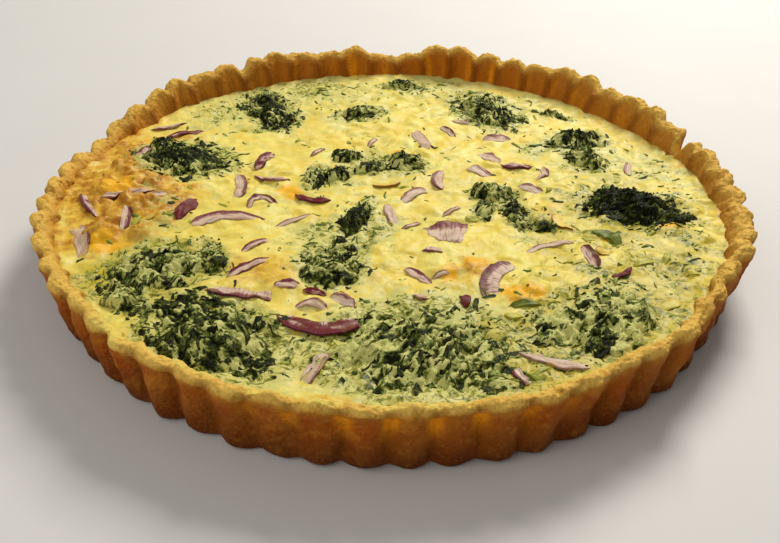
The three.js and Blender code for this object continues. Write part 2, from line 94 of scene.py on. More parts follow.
# Spinach: each clump's heaps, as middle x and y, length, width, turn and height.
SPINACH = [
    [(-78, 26, 36, 26, -14, 5.2), (-89, 35, 12, 9, 60, 4.2)],
    [(-52, 72.5, 37, 19, -62, 3.8), (-48, 57.5, 13, 11, 20, 2.4)],
    [(-14, 69.5, 20, 13, 22, 2.8)],
    [(39, 74, 36, 24, -70, 3.8), (68, 70, 14, 5, -35, 2.2)],
    [(72, 46, 23, 16, 8, 4.2), (73.5, 31, 18, 13, -70, 4.0)],
    [(85, -8, 33, 25, -14, 6.4), (74, -4, 12, 10, 40, 4.0)],
    [(37, 2, 18, 12, -8, 4.2), (42.5, -11, 20, 9, 102, 2.6), (32, -10, 13, 7, 80, 2.0),
     (51, -20.5, 11, 5, 10, 1.6)],
    [(-28, 14, 17, 7.5, 78, 2.4), (-20, 15, 13, 8.5, 60, 3.0), (-17.6, 31, 10, 9, 0, 2.0)],
    [(4.4, 24, 18, 14, -8, 3.0), (-8, 22, 12, 11, 0, 1.8)],
    [(-12.6, -17.5, 30, 7.5, 72, 4.4)],
    [(-18, -45, 26, 19, 84, 3.8)],
    [(-73.5, -49, 37, 24, 26, 3.6), (-57, -42, 21, 8, -72, 3.6), (-81, -65, 22, 11, -38, 2.8)],
    [(-51, -84, 46, 34, -48, 5.2)],
    [(9.5, -89.5, 55, 46, -8, 4.8)],
    [(61.5, -74, 42, 33, 28, 4.2)],
    [(2, 100.5, 17, 7, 2, 2.2)],
]

# Each clump's look: how light its leaves are, how far custard films them, how closely
# the leaves lie, and the way their folds run, in degrees.
SPINACH_LOOKS = [
    (0.22, 0.50, 0.85, -20), (0.12, 0.36, 0.80, -60), (0.40, 0.70, 0.50, 20), (0.30, 0.82, 0.70, -60),
    (0.15, 0.72, 0.72, -30), (-0.25, -0.35, 1.30, 10), (0.25, 0.85, 0.62, 30), (0.30, 0.65, 0.65, 70),
    (0.40, 0.75, 0.60, 20), (0.0, 0.34, 1.40, 75), (0.25, 0.75, 0.65, 20), (0.50, 0.85, 0.60, 45),
    (0.22, 0.60, 0.80, -50), (0.46, 1.06, 0.70, 45), (0.48, 1.12, 0.62, 48), (0.60, 1.00, 0.50, 10),
]

# Red onion: middle x and y, turn of the chord, length, bow, width, and its look: how
# dark and red its skin side is (0 pale pink, 1 deep purple).
ONION = [
    (-90.4, 54.5, 27, 16, -0.6, 4, 0.15),
    (-82.8, 46.7, 31, 16.5, 0.4, 3, 0.85),
    (-94.5, 30.3, 57, 12.2, 0.7, 3.4, 0.7),
    (-56.5, 4.9, -84, 18.5, 2.1, 4.6, 0.35),
    (-70.5, -13.9, 72, 15.3, 0.4, 4.8, 1.0),
    (-54.9, -21.3, 9, 25, 4.2, 5.2, 0.5),
    (-93.6, -7.1, 24, 21.3, -1, 3.2, 0.6),
    (-103.7, -14, -60, 18.5, -1.1, 3.0, 0.75),
    (-102.2, -35.2, -66, 20, 1.4, 5, 0.05),
    (-48.5, 25.6, 73, 16.2, 0.4, 4.4, 0.8),
    (-43.6, 13.4, -13, 15.5, -2.9, 3.6, 0.3),
    (-45, -9, 21, 10.8, 6.6, 2.8, 0.75),
    (-28, -1.6, -26, 14.2, -3.6, 3.4, 1.0),
    (-44.1, -35, 43, 11.5, 0.4, 3, 0.75),
    (-44, -48.6, 34, 17, 1, 3.2, 0.7),
    (-47, -61.4, -10, 22, -1, 4.6, 0.6),
    (-31.4, -58.8, 9, 8.5, 0.7, 3.4, 0.5),
    (-14.8, -65.9, -31, 9.5, 0.9, 4.2, 0.3),
    (-23.6, -69, -5, 10, 2, 3.2, 0.35),
    (-20.2, -73.6, -9, 23, -6.3, 7.4, 0.86),
    (-21, -97.5, 70, 15, -0.4, 5.2, 0.1),
    (10.2, 45.6, -68, 17, 0.4, 5, 0.0),
    (22, 52.4, -55, 10.6, 0.3, 2.4, 0.5),
    (41.3, 45.8, -1, 10, 1.6, 5.6, 0.25),
    (36.4, 30.3, -58, 12.6, 0.5, 5.4, 0.1),
    (47, 24, -6, 12.8, -0.9, 3.6, 0.8),
    (54, 18.1, 79, 12.8, -2.8, 3, 0.35),
    (31.4, 18.9, -41, 11.5, 0.6, 5.4, 0.3),
    (49.7, 4.3, -35, 11, 0.5, 4.2, 0.2),
    (19.1, 12.6, 84, 15.8, 2.9, 4.6, 0.45),
    (8.3, -0.1, 52, 15.6, 1.1, 4.6, 0.35),
    (0.1, -13.6, -76, 14.1, -0.7, 4, 0.1),
    (17.5, -25.5, -1, 14.5, 0.8, 11.5, 0.45),
    (13.3, -36.2, -18, 6.6, -0.7, 4, 0.5),
    (8.3, -51.7, -46, 12.5, 0.5, 3.8, 0.5),
    (34.4, -54.1, 66, 18.8, 3.6, 6.5, 0.65),
    (51.1, -34.6, 26, 20, 2.4, 3, 0.1),
    (63.8, -39.2, -76, 12.8, 0.4, 4.2, 0.7),
    (71.9, -48.4, 34, 8.4, -1.2, 2.4, 1.0),
    (45.5, -91, -20, 24, -2.4, 4.2, 0.12),
]

LEEK = [
    (71, -28.3, -39, 11, 2, 4, 1.0),
    (59.4, -15.9, -74, 12.7, -2.8, 3.6, 0.0),
]

# Thin slivers and bits too small to be pieces of their own, as above.
ONION_SLIVERS = [
    (-29.2, 33.3, 60, 9.6, 0.4, 1.5, 0.7), (-33.9, -19.2, 39, 17, 0.6, 1.5, 0.25),
    (-89.9, -22.9, -83, 16.3, 0.9, 3.0, 0.6), (35.4, -98.4, -65, 8, -0.9, 3.0, 0.6),
    (89.1, 22.5, 77, 13, 0.8, 3.0, 0.3), (21.8, -64.7, -88, 6.4, 0.6, 3.4, 0.95),
    (21.1, -11, 42, 10, 0.4, 1.8, 0.6), (-80.6, -8.7, 23, 8, 0.5, 3.0, 0.2),
    (28, 62, -20, 9, 0.8, 1.8, 0.4), (-8, 43, 60, 8, 0.4, 1.8, 0.3),
    (-23, -61.9, -21, 8.2, 0.5, 2.4, 0.85), (6.2, -20.9, 35, 8.7, 0.3, 1.5, 0.5),
    (8.9, -63.1, -10, 5, -0.6, 2.4, 0.4), (15.6, -51.2, 20, 6.5, 0.3, 1.5, 0.4),
]
LEEK_BITS = [
    (83, -66, 27, 9, 0.8, 5.0, 0.35), (80.8, -42.6, 23, 8.6, 0.6, 3.4, 0.55),
    (88, -39.5, 65, 7.2, -0.4, 2.6, 0.6), (-86, -23, -87, 7.5, 0.4, 3.4, 0.5),
    (40, -66.6, 4, 10, 0.6, 2.0, 1.0), (27.7, -16.2, 10, 5.5, 0.3, 2.8, 0.65),
    (68.9, -36.6, -25, 6.4, 0.6, 3.2, 0.0), (36.2, -71.4, 1, 6, -0.8, 3.2, 0.5),
    (-2.4, 10.3, 2, 10.5, -2.8, 3.6, 0.2),
]

# Slices cut across the layers, with their lines running over the short way.
CUT_ACROSS = {16, 20, 33, 34, 36}

# Slices that widen like a fan, and by how much.
FANNED = {33: 0.4, 21: 0.2, 6: -0.3}

# Steep lumps of baked cheese and egg: middle, reach and height.
CRAGS = [
    (-95.5, -32.5, 5.5, 2.8), (-82.5, -31.5, 4.0, 2.0), (-93.5, -23, 5.0, 2.4),
    (-99.5, -4, 6.0, 1.9),
    (-88, -12, 5.5, 1.8), (-90, 4, 6.5, 1.8), (-76, -20, 4.0, 1.3), (-97, 18, 7.0, 1.8),
    (-84, 15, 4.5, 1.2), (-80, -9, 4.0, 1.2), (-101, 33, 6.0, 1.4), (-95, -42, 4.0, 1.2),
    (27, -46, 5.0, 0.8), (40, -60, 5.0, 0.9), (-36, -50, 9.0, 0.9), (92, -22, 5.5, 0.9),
    (10, -100, 8.0, 0.7), (50, -12, 6.0, 0.8),
]

# Bright golden spots: middle and reach.
GOLDEN = [
    (27, -44, 3.2), (18, -51, 2.6), (37, -60, 3.6), (44, -60, 3.0), (-37, 3, 4.0),
    (-34, -2, 2.4), (93, -20, 3.6), (-93, -38, 4.5), (-97, -2, 6.0), (-86, 26, 4.0),
    (72, -26, 2.2), (-21, 14, 1.6), (2, 34, 2.0),
]

# Browned places on the custard: middle, reach and strength.
TOASTED = [
    (-100, -4, 17, 1.3), (-90, 14, 14, 1.1), (-98, 30, 12, 0.9), (-84, 40, 12, 0.6),
    (-95, -32, 11, 1.2), (-84, -20, 12, 1.1), (-74, -4, 9, 0.6), (-36, -51, 12, 0.38),
    (-50, -49, 9, 0.35), (-36, 1, 5, 0.5), (27, -46, 6, 0.8), (19, -52, 7, 0.5),
    (39, -62, 5, 0.8), (93, -20, 6, 0.7), (-10, -55, 14, 0.3), (-40, 55, 14, 0.3),
    (12, 10, 12, 0.25), (55, -10, 8, 0.35),
]

# Custard coloured by the spinach: middle, reach and strength.
TINTED = [
    (-9, 25, 12, 0.8), (-26, 9, 9, 0.6), (-22, -36, 14, 0.8), (-10, -22, 14, 0.7),
    (-27, -24, 6, 0.8), (-5, -23, 5, 0.7), (54, 38, 6, 1.0), (-38, 95, 8, 0.6),
    (8, 101, 14, 0.5), (4, -107, 13, 0.8), (-92, -62, 12, 0.3), (-76, -25, 12, 0.5),
    (49, -19, 10, 0.7), (-2, 20, 34, 0.25), (-90, -62, 24, 0.4), (-74, 68, 16, 0.6),
    (-62, 66, 24, 0.35), (-30, 99, 16, 0.7), (-56, 92, 12, 0.5), (22, 98, 16, 0.5),
    (62, 82, 30, 0.5), (-16, 82, 26, 0.4), (92, 30, 20, 0.4), (20, -68, 20, 0.45),
    (-30, -96, 16, 0.6), (42, -98, 16, 0.6), (88, -52, 22, 0.5), (-74, 2, 18, 0.3),
]


# Shapes shared by the pieces

def stream(seed):
    """A repeatable stream of random numbers from 0 to 1."""
    state = seed
    while True:
        state = (state * 1664525 + 1013904223) % 4294967296
        yield state / 4294967296


def bell(distance, reach):
    return np.exp(-(distance / reach) ** 2)


def round_bell(angle, at, reach):
    """A bell over degrees round the crust."""
    return bell((angle - at + 540) % 360 - 180, reach)


def spots(x, y, table):
    """The sum of round spots, each with its middle, reach and strength."""
    return sum(strength * bell(np.hypot(x - sx, y - sy), reach)
               for sx, sy, reach, strength in table)


def ease(value, low, high):
    """0 below low, 1 above high, smooth between."""
    t = np.clip((value - low) / (high - low), 0, 1)
    return t * t * (3 - 2 * t)


def whole(value):
    return np.floor(value).astype(np.int64)


def scatter(cx, cy, seed):
    """A random number from 0 to 1 for each whole cell."""
    mix = (cx * 374761393 + cy * 668265263 + seed * 974634777) & 0xFFFFFFFF
    mix = ((mix ^ (mix >> 13)) * 1274126177) & 0xFFFFFFFF
    return (mix ^ (mix >> 16)) / 4294967296


def ripple(x, y, seed, wrap=None):
    """Smooth random bumps from about -1 to 1, one cell wide per unit of x and y."""
    x0, y0 = whole(x), whole(y)
    fx, fy = x - x0, y - y0
    total = 0
    for dx in (0, 1):
        for dy in (0, 1):
            cx = (x0 + dx) % wrap if wrap else x0 + dx
            angle = scatter(cx, y0 + dy, seed) * 2 * math.pi
            share_x = ease(fx, 0, 1) if dx else 1 - ease(fx, 0, 1)
            share_y = ease(fy, 0, 1) if dy else 1 - ease(fy, 0, 1)
            total = total + share_x * share_y * (
                np.cos(angle) * (fx - dx) + np.sin(angle) * (fy - dy))
    return total * 1.5


def curds(x, y, seed, wrap=None):
    """Rounded lumps about one unit wide: 1 on a lump, 0 in the creases between them."""
    x0, y0 = whole(x), whole(y)
    first = second = np.full(np.shape(x), 9.0)
    for dx in (-1, 0, 1):
        for dy in (-1, 0, 1):
            cx, cy = x0 + dx, y0 + dy
            name = cx % wrap if wrap else cx
            away = np.hypot(
                cx + scatter(name, cy, seed) - x, cy + scatter(name, cy, seed + 1) - y)
            second = np.minimum(second, np.maximum(first, away))
            first = np.minimum(first, away)
    return ease(second - first, -0.1, 0.75)


def rough(x, y, size, seed, layers=4, fade=0.5):
    """Bumps of falling size on top of each other."""
    total, strength = 0, 1.0
    for layer in range(layers):
        total = total + strength * ripple(x / size, y / size, seed + layer * 17)
        size *= 0.5
        strength *= fade
    return total


def ridged(x, y, size, seed):
    """Sharp curly ridges from 0 to 1, like crumpled leaf."""
    wx = x + size * 0.9 * ripple(x / size / 1.7, y / size / 1.7, seed + 3)
    wy = y + size * 0.9 * ripple(x / size / 1.7, y / size / 1.7, seed + 5)
    return np.clip(1 - 2.4 * np.abs(ripple(wx / size, wy / size, seed)), 0, 1)


def surface(x, y):
    """Height of the custard's skin before its small lumps."""
    return FILLING_LEVEL + FILLING_SLOPE * y + spots(x, y, CUSTARD_SWELLS)


def on_plan(x, y, turn, along, across):
    """The place so far along and across from x and y, on axes turned by these degrees."""
    c, s = math.cos(math.radians(turn)), math.sin(math.radians(turn))
    return x + along * c - across * s, y + along * s + across * c


def heap_distance(x, y, heap):
    """0 at the heap's middle and 1 at its edge."""
    hx, hy, long, wide, turn, _ = heap
    along, across = on_plan(0, 0, -turn, x - hx, y - hy)
    return np.hypot(along / (long * 0.5), across / (wide * 0.5))


# Work on meshes

def nothing_selected():
    bpy.ops.object.select_all(action="DESELECT")


def editing(whole=None):
    """Goes into edit mode, with the whole mesh selected, or none of it, where asked."""
    bpy.ops.object.mode_set(mode="EDIT")
    if whole is not None:
        bpy.ops.mesh.select_all(action="SELECT" if whole else "DESELECT")


def editing_done():
    bpy.ops.object.mode_set(mode="OBJECT")


def closed_up():
    """Fills the selected loops, turns all faces outwards and leaves edit mode."""
    bpy.ops.mesh.edge_face_add()
    bpy.ops.mesh.select_all(action="SELECT")
    bpy.ops.mesh.normals_make_consistent(inside=False)
    editing_done()


def newest(name):
    piece = bpy.context.object
    piece.name = piece.data.name = name
    return piece


def grid(name, long_cells, wide_cells, size=2):
    """A flat square grid, its size in millimetres."""
    nothing_selected()
    bpy.ops.mesh.primitive_grid_add(
        x_subdivisions=long_cells, y_subdivisions=wide_cells, size=size * MM)
    return newest(name)


def copy_of(blank, name):
    nothing_selected()
    blank.select_set(True)
    bpy.context.view_layer.objects.active = blank
    bpy.ops.object.duplicate()
    return newest(name)


def points(piece):
    flat = np.empty(len(piece.data.vertices) * 3)
    piece.data.vertices.foreach_get("co", flat)
    return flat.reshape(-1, 3) / MM


def modified(piece, kind, **settings):
    """Applies one modifier to the active piece."""
    made = piece.modifiers.new(kind, kind)
    for name, setting in settings.items():
        setattr(made, name, setting)
    bpy.ops.object.modifier_apply(modifier=made.name)
    return piece


def trim(skin, outside):
    """Takes these vertices off a flat skin, and gives it a skirt and a bottom."""
    editing(whole=False)
    bpy.ops.mesh.select_mode(type="VERT")
    editing_done()
    skin.data.vertices.foreach_set("select", outside)
    editing()
    bpy.ops.mesh.delete(type="VERT")
    bpy.ops.mesh.select_all(action="SELECT")
    bpy.ops.mesh.region_to_loop()
    bpy.ops.mesh.extrude_region_move(TRANSFORM_OT_translate={"value": (0, 0, -SKIRT * MM)})
    closed_up()


def set_points(piece, places):
    piece.data.vertices.foreach_set("co", (np.asarray(places) * MM).ravel())
    piece.data.update()


def keep(piece, **measures):
    """Stores numbers per vertex, under these names, for the finish to read."""
    for name, values in measures.items():
        layer = piece.data.attributes.new(name, "FLOAT", "POINT")
        layer.data.foreach_set("value", np.asarray(values, dtype=float).ravel())


def smooth(piece):
    piece.data.polygons.foreach_set("use_smooth", [True] * len(piece.data.polygons))


def finish_piece(piece, finish, slot, *nodes):
    piece.data.materials.clear()
    piece.data.materials.append(finish)
    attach(piece, "root")
    if nodes:
        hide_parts(*nodes)


# Finishes

def operator(operation, swapped=False):
    """An operator on values that adds a Math node of this operation."""
    def apply(value, other):
        first, second = (other, value) if swapped else (value, other)
        return value.recipe.node("ShaderNodeMath", {"operation": operation}, {0: first, 1: second})
    return apply


class Value:
    """A number in a finish that ordinary arithmetic works on."""

    def __init__(self, recipe, socket):
        self.recipe, self.socket = recipe, socket

    __add__, __radd__ = operator("ADD"), operator("ADD", swapped=True)
    __sub__, __rsub__ = operator("SUBTRACT"), operator("SUBTRACT", swapped=True)
    __mul__, __rmul__ = operator("MULTIPLY"), operator("MULTIPLY", swapped=True)

    def clamp(self):
        return self.recipe.node("ShaderNodeClamp", {}, {"Value": self})

    def between(self, low, high):
        """0 below low, 1 above high, smooth between."""
        return self.recipe.node(
            "ShaderNodeMapRange", {"interpolation_type": "SMOOTHSTEP"},
            {"Value": self, "From Min": low, "From Max": high})


class Recipe:
    """A material under construction."""

    def __init__(self, name):
        self.material = bpy.data.materials.new(name)
        self.material.use_nodes = True
        self.tree = self.material.node_tree
        self.tree.nodes.clear()
        self.place = self.node("ShaderNodeTexCoord", out="Object")

    def node(self, kind, settings=None, inputs=None, out=0):
        made = self.tree.nodes.new(kind)
        for name, setting in (settings or {}).items():
            setattr(made, name, setting)
        for name, value in (inputs or {}).items():
            if isinstance(value, Value):
                self.tree.links.new(value.socket, made.inputs[name])
            else:
                made.inputs[name].default_value = value
        return Value(self, made.outputs[out])

    def noise(self, size_mm, detail=3.0, roughness=0.55, distortion=0.0, where=None):
        return self.node("ShaderNodeTexNoise", {}, {
            "Vector": where or self.place, "Scale": 1 / (size_mm * MM), "Detail": detail,
            "Roughness": roughness, "Distortion": distortion})

    def cells(self, size_mm, feature="F1"):
        return self.node("ShaderNodeTexVoronoi", {"feature": feature}, {
            "Vector": self.place, "Scale": 1 / (size_mm * MM)}, out="Distance")

    def fibres(self):
        """Fine lines along the grain map, which is in millimetres."""
        stretched = self.node("ShaderNodeMapping", {}, {
            "Vector": self.node("ShaderNodeUVMap", {"uv_map": "grain"}), "Scale": (0.14, 1.5, 1.0)})
        return self.noise(1000, 3, 0.6, where=stretched)

    def kept(self, name):
        return self.node("ShaderNodeAttribute", {"attribute_name": name}, out="Fac")

    def blend(self, share, first, second):
        def colour(value):
            return value if isinstance(value, Value) else (*value, 1.0)
        return self.node("ShaderNodeMix", {"data_type": "RGBA"},
                         {0: share, 6: colour(first), 7: colour(second)}, out=2)

    def coats(self, colour, *coats):
        """The colour with coats laid over it, each given as its share and its colour."""
        for share, coat in coats:
            colour = self.blend(share, colour, coat)
        return colour

    def raised(self, height, distance_mm, strength=1.0):
        return self.node("ShaderNodeBump", {}, {
            "Height": height, "Distance": distance_mm * MM, "Strength": strength})

    def bake(self, colour, roughness, normal, **constants):
        inputs = {name.replace("_", " "): value for name, value in constants.items()}
        inputs.update({"Base Color": colour, "Roughness": roughness, "Normal": normal})
        baked = self.node("ShaderNodeBsdfPrincipled", {}, inputs)
        out = self.tree.nodes.new("ShaderNodeOutputMaterial")
        self.tree.links.new(baked.socket, out.inputs["Surface"])
        return self.material


def crust_finish():
    r = Recipe("baked_shortcrust")
    crest, wall, inner, groove = (r.kept(n) for n in ("crest", "wall", "inner", "groove"))
    splash, foot, brown, glaze = (r.kept(n) for n in ("splash", "foot", "brown", "glaze"))
    broad, medium = r.noise(16, 3), r.noise(4.0, 4, 0.65)
    fine, crumbs = r.noise(0.9, 3, 0.65), r.cells(1.6)
    tan = r.noise(6.5, 3, 0.6, 0.5).between(0.52, 0.62)
    baked = r.noise(2.3, 3, 0.65, 0.6).between(0.54, 0.70)
    light = fine.between(0.54, 0.72) * (0.08 + crest * 0.3) * (1 - inner * 0.7)
    colour = r.coats(
        r.blend(medium.between(0.36, 0.64), (0.58, 0.26, 0.026), (0.78, 0.45, 0.075)),
        (broad.between(0.42, 0.64) * 0.5, (0.50, 0.19, 0.014)),
        (crest * medium.between(0.26, 0.50) * 0.95, (0.90, 0.58, 0.115)),
        # darker on the right and at the back, with painted shade in the grooves on the left
        ((brown * (0.3 + medium * 0.8)).clamp(), (0.50, 0.22, 0.024)),
        # browner outer wall: partly the pastry's own colour, partly painted shade
        ((wall * (0.50 + broad * 0.80)).clamp(), (0.38, 0.076, 0.002)),
        (tan * wall * 0.4, (0.64, 0.27, 0.025)),
        # painted shade: the wall darker towards its foot
        (foot * 0.85, (0.085, 0.017, 0.001)),
        # orange-brown inner wall, strongest at the back: partly its own colour, partly painted shade
        ((inner * (0.55 + medium * 0.7)).clamp(), (0.50, 0.125, 0.002)),
        # painted shade: the hollows of the flutes darker, outside and on the inner wall
        (groove * 0.66, (0.22, 0.050, 0.002)),
        # painted glow: orange light in the front grooves near the top, and painted highlights on the
        # inner bumps at the back
        ((glaze * (0.5 + medium)).clamp(), (0.90, 0.32, 0.006)),
        (baked * 0.45, (0.40, 0.15, 0.016)),
        (light, (0.90, 0.64, 0.22)),
        (fine.between(0.46, 0.30) * 0.35, (0.32, 0.115, 0.012)),
        ((splash * medium.between(0.25, 0.45)).clamp(), (0.90, 0.70, 0.15)))
    height = fine * 0.7 + medium * 0.9 + crumbs * 0.8
    return r.bake(colour, 0.60 + fine * 0.2, r.raised(height, 0.7, 0.95),
                  Specular_IOR_Level=0.10)


def custard_finish():
    r = Recipe("baked_custard")
    toast, golden, green = (r.kept(n) for n in ("toast", "golden", "green"))
    cream, dip, olive = (r.kept(n) for n in ("cream", "dip", "olive"))
    broad, medium = r.noise(9, 3, 0.55, 0.4), r.noise(3.4, 3, 0.5, 0.6)
    fine, crusted = r.noise(1.0, 2, 0.5), r.noise(2.6, 3, 0.6, 0.8)
    pale = (cream * medium.between(0.42, 0.54)).clamp()
    creamy = r.blend(olive, (0.94, 0.88, 0.36), (0.87, 0.74, 0.10))
    browned = (toast * (0.15 + medium * 1.0 + crusted * 0.9)).clamp()
    scorched = (toast * 0.45 + (crusted - 0.5) * 2.0 + (medium - 0.5) * 1.6).clamp()
    baked_spots = r.noise(4.2, 3, 0.6, 0.8).between(0.60, 0.70)
    mottle, streaks = r.noise(5.0, 3, 0.55, 1.2), r.noise(2.6, 4, 0.6, 1.8)
    veil = green * 1.05 + (mottle - 0.5) * 2.2
    veiled = r.blend(olive, (0.66, 0.63, 0.20), (0.58, 0.45, 0.025))
    shreds = green * 0.8 + (streaks - 0.5) * 2.4 + (mottle - 0.5) * 1.2
    colour = r.coats(
        r.blend(broad.between(0.42, 0.58), (0.90, 0.70, 0.115), (0.94, 0.81, 0.19)),
        (olive * 0.7, (0.82, 0.66, 0.050)),
        (pale * 0.8, creamy),
        (medium.between(0.48, 0.34) * 0.4, (0.84, 0.60, 0.07)),
        # painted shade: the custard darker in the low places of its skin
        (dip * 0.4, (0.70, 0.56, 0.10)),
        (browned.between(0.10, 0.75) * 0.85, (0.84, 0.50, 0.050)),
        ((scorched * toast * 1.5).clamp(), (0.48, 0.19, 0.010)),
        (baked_spots * (0.18 + toast * 0.6), (0.80, 0.46, 0.04)),
        (veil.between(0.25, 0.75) * 0.85, veiled),
        (shreds.between(0.72, 0.95), (0.29, 0.29, 0.038)),
        (shreds.between(1.05, 1.25), (0.075, 0.085, 0.008)),
        ((golden * (0.5 + medium)).clamp(), (0.93, 0.50, 0.016)))
    pits = r.cells(2.2).between(0.0, 0.30)
    height = medium * 1.2 + fine * 0.20 + pits * 0.3
    return r.bake(colour, 0.36 + medium * 0.2, r.raised(height, 0.6, 0.48),
                  Specular_IOR_Level=0.24, Subsurface_Weight=0.15, Subsurface_Scale=0.0025,
                  Subsurface_Radius=(1.0, 0.7, 0.3))


def spinach_finish():
    r = Recipe("wilted_spinach")
    tone, film = r.kept("tone"), r.kept("film")
    fine, shreds = r.noise(0.8, 3, 0.6, 0.6), r.noise(2.6, 3, 0.55, 1.4)
    patchy = r.noise(6.0, 2, 0.5, 0.6)
    light = film * 0.9 + tone * 0.5 + (shreds - 0.5) * 1.9 + (patchy - 0.5) * 0.9
    light = light + (fine - 0.5) * 0.9 - 0.08
    colour = r.coats(
        r.blend(light.between(0.00, 0.32), (0.008, 0.011, 0.001), (0.052, 0.066, 0.006)),
        (light.between(0.30, 0.55), (0.140, 0.180, 0.028)),
        (light.between(0.50, 0.66), (0.340, 0.375, 0.090)),
        (light.between(0.66, 0.90), (0.700, 0.690, 0.235)))
    veins = r.cells(1.1, "DISTANCE_TO_EDGE").between(0.0, 0.18)
    height = fine * 0.6 + veins * 0.4 + shreds * 1.2
    return r.bake(colour, 0.38 + fine * 0.25, r.raised(height, 0.4, 0.75),
                  Specular_IOR_Level=0.12)


def onion_finish():
    r = Recipe("cooked_red_onion")
    deep, skin, edge, sunk = (r.kept(n) for n in ("deep", "skin", "edge", "sunk"))
    fibres, fine, medium = r.fibres(), r.noise(0.6, 2, 0.5), r.noise(3.0, 3, 0.6)
    pale = r.blend(medium.between(0.35, 0.65), (0.76, 0.60, 0.42), (0.64, 0.42, 0.37))
    mauve = r.blend(medium.between(0.35, 0.65), (0.34, 0.135, 0.135), (0.25, 0.075, 0.085))
    purple = r.blend(medium.between(0.4, 0.6), (0.15, 0.016, 0.024), (0.070, 0.010, 0.018))
    share = deep * 0.76 + (skin - 0.5) * 0.62 + (fibres - 0.5) * 0.9 + (medium - 0.5) * 0.4 + 0.06
    film = medium.between(0.50, 0.66) * (1.05 - deep) * (0.35 + sunk * 0.9)
    colour = r.coats(
        pale,
        (share.between(0.28, 0.60), mauve),
        (share.between(0.58, 0.95), purple),
        (deep.between(0.76, 0.88) * 0.94, (0.145, 0.004, 0.007)),
        (fibres.between(0.55, 0.61) * (0.45 + deep * 0.3), (0.15, 0.03, 0.05)),
        ((edge * (0.45 + deep * 0.4)).clamp(), (0.11, 0.018, 0.038)),
        (film.clamp(), (0.86, 0.70, 0.20)))
    return r.bake(colour, 0.34 + fine * 0.2, r.raised(fibres * 0.9 + fine * 0.3, 0.3, 0.7),
                  Specular_IOR_Level=0.15, Subsurface_Weight=0.1, Subsurface_Scale=0.002)


def leek_finish():
    r = Recipe("cooked_leek")
    deep, edge = r.kept("deep"), r.kept("edge")
    fibres, fine, medium = r.fibres(), r.noise(0.6, 2, 0.5), r.noise(2.0, 3, 0.6)
    golden = r.blend(medium.between(0.3, 0.7), (0.90, 0.72, 0.17), (0.82, 0.56, 0.10))
    pale = r.blend(medium.between(0.3, 0.7), (0.64, 0.58, 0.08), (0.44, 0.46, 0.07))
    leafy = r.blend(medium.between(0.3, 0.7), (0.21, 0.25, 0.03), (0.10, 0.13, 0.015))
    veined = fibres.between(0.5, 0.65) * deep * 0.6
    colour = r.coats(
        golden,
        (edge.between(0.2, 0.7), (0.30, 0.10, 0.01)),
        (deep.between(0.1, 0.6), pale),
        ((deep.between(0.6, 1.0) + veined).clamp(), leafy))
    return r.bake(colour, 0.33 + fine * 0.2, r.raised(fine * 0.5 + fibres, 0.3, 0.6),
                  Specular_IOR_Level=0.2)


def fleck_finish():
    r = Recipe("chopped_greens")
    tone = r.kept("tone")
    medium = r.noise(2.0, 3, 0.6)
    colour = r.coats(
        r.blend(tone.between(0.0, 0.35), (0.020, 0.045, 0.010), (0.095, 0.165, 0.028)),
        (tone.between(0.35, 0.95), (0.46, 0.48, 0.06)),
        (medium.between(0.5, 0.7) * 0.4, (0.25, 0.30, 0.04)))
    return r.bake(colour, 0.35 + medium * 0.2, r.raised(medium, 0.25, 0.5),
                  Specular_IOR_Level=0.14)


# Crust

def press_flutes():
    """How each flute was pressed: its depth, lift, outward push and lean."""
    draw = stream(71)

    def swing(amount):
        return (next(draw) * 2 - 1) * amount

    return np.array([
        (FLUTE_DEPTH * (1 + swing(0.3)), swing(1.0), swing(0.7), swing(0.9))
        for _ in range(FLUTES)])


def crust_sections(steps_per_flute):
    """The wall's nine control points at every step round the crust."""
    count = FLUTES * steps_per_flute
    step = np.arange(count)
    flute = step // steps_per_flute
    phase = (step % steps_per_flute) / steps_per_flute
    bump = (0.5 - 0.5 * np.cos(2 * np.pi * phase)) ** 0.55
    angle = FIRST_FLUTE + (step / steps_per_flute - 0.5) * 360 / FLUTES
    pressed = press_flutes()
    here, ahead = pressed[flute], pressed[(flute + 1) % FLUTES]
    depth = here[:, 0] * (1 - phase) + ahead[:, 0] * phase
    depth = depth * (1 - 0.3 * round_bell(angle, 0, 45))
    lift = here[:, 1] * bump - 1.5 * (1 - bump)
    out = here[:, 2] * bump
    lean = here[:, 3] * bump
    thick = 0
    for at, half, mark_lift, mark_out, mark_thick in RIM_MARKS:
        weight = round_bell(angle, at, half)
        lift = lift + mark_lift * weight
        out = out + mark_out * weight
        thick = thick + mark_thick * weight
    groove = depth * (1 - bump)

    def outer(height, share):
        t = height / CRUST_HEIGHT
        return FOOT_RADIUS + (RIM_RADIUS - FOOT_RADIUS) * t + out * t - groove * share

    top = CRUST_HEIGHT + lift
    one = np.ones(count)
    section = [
        (outer(0, 0.8) - 2.6, 0 * one),
        (outer(2, 0.9), 1.8 * one),
        (outer(12, 0.95) + lean, 12 * one),
        (outer(21, 0.8), 21 + lift * 0.7),
        (outer(25, 0.55) - 0.6, top - 1.5),
        (outer(25, 0.4) - 0.45 * RIM_BAND, top),
        (RIM_RADIUS - RIM_BAND + 0.8 * out - groove * 0.6, top - 1.6),
        (WALL_INNER_RADIUS + 0.5 * out - thick - groove * 0.4, WALL_INNER_LEVEL * one),
        (BASE_INNER_RADIUS * one, BASE_THICKNESS * one),
    ]
    return angle, bump, np.array(section)


SECTION_SPLITS = [3, 9, 9, 8, 8, 8, 9, 3]


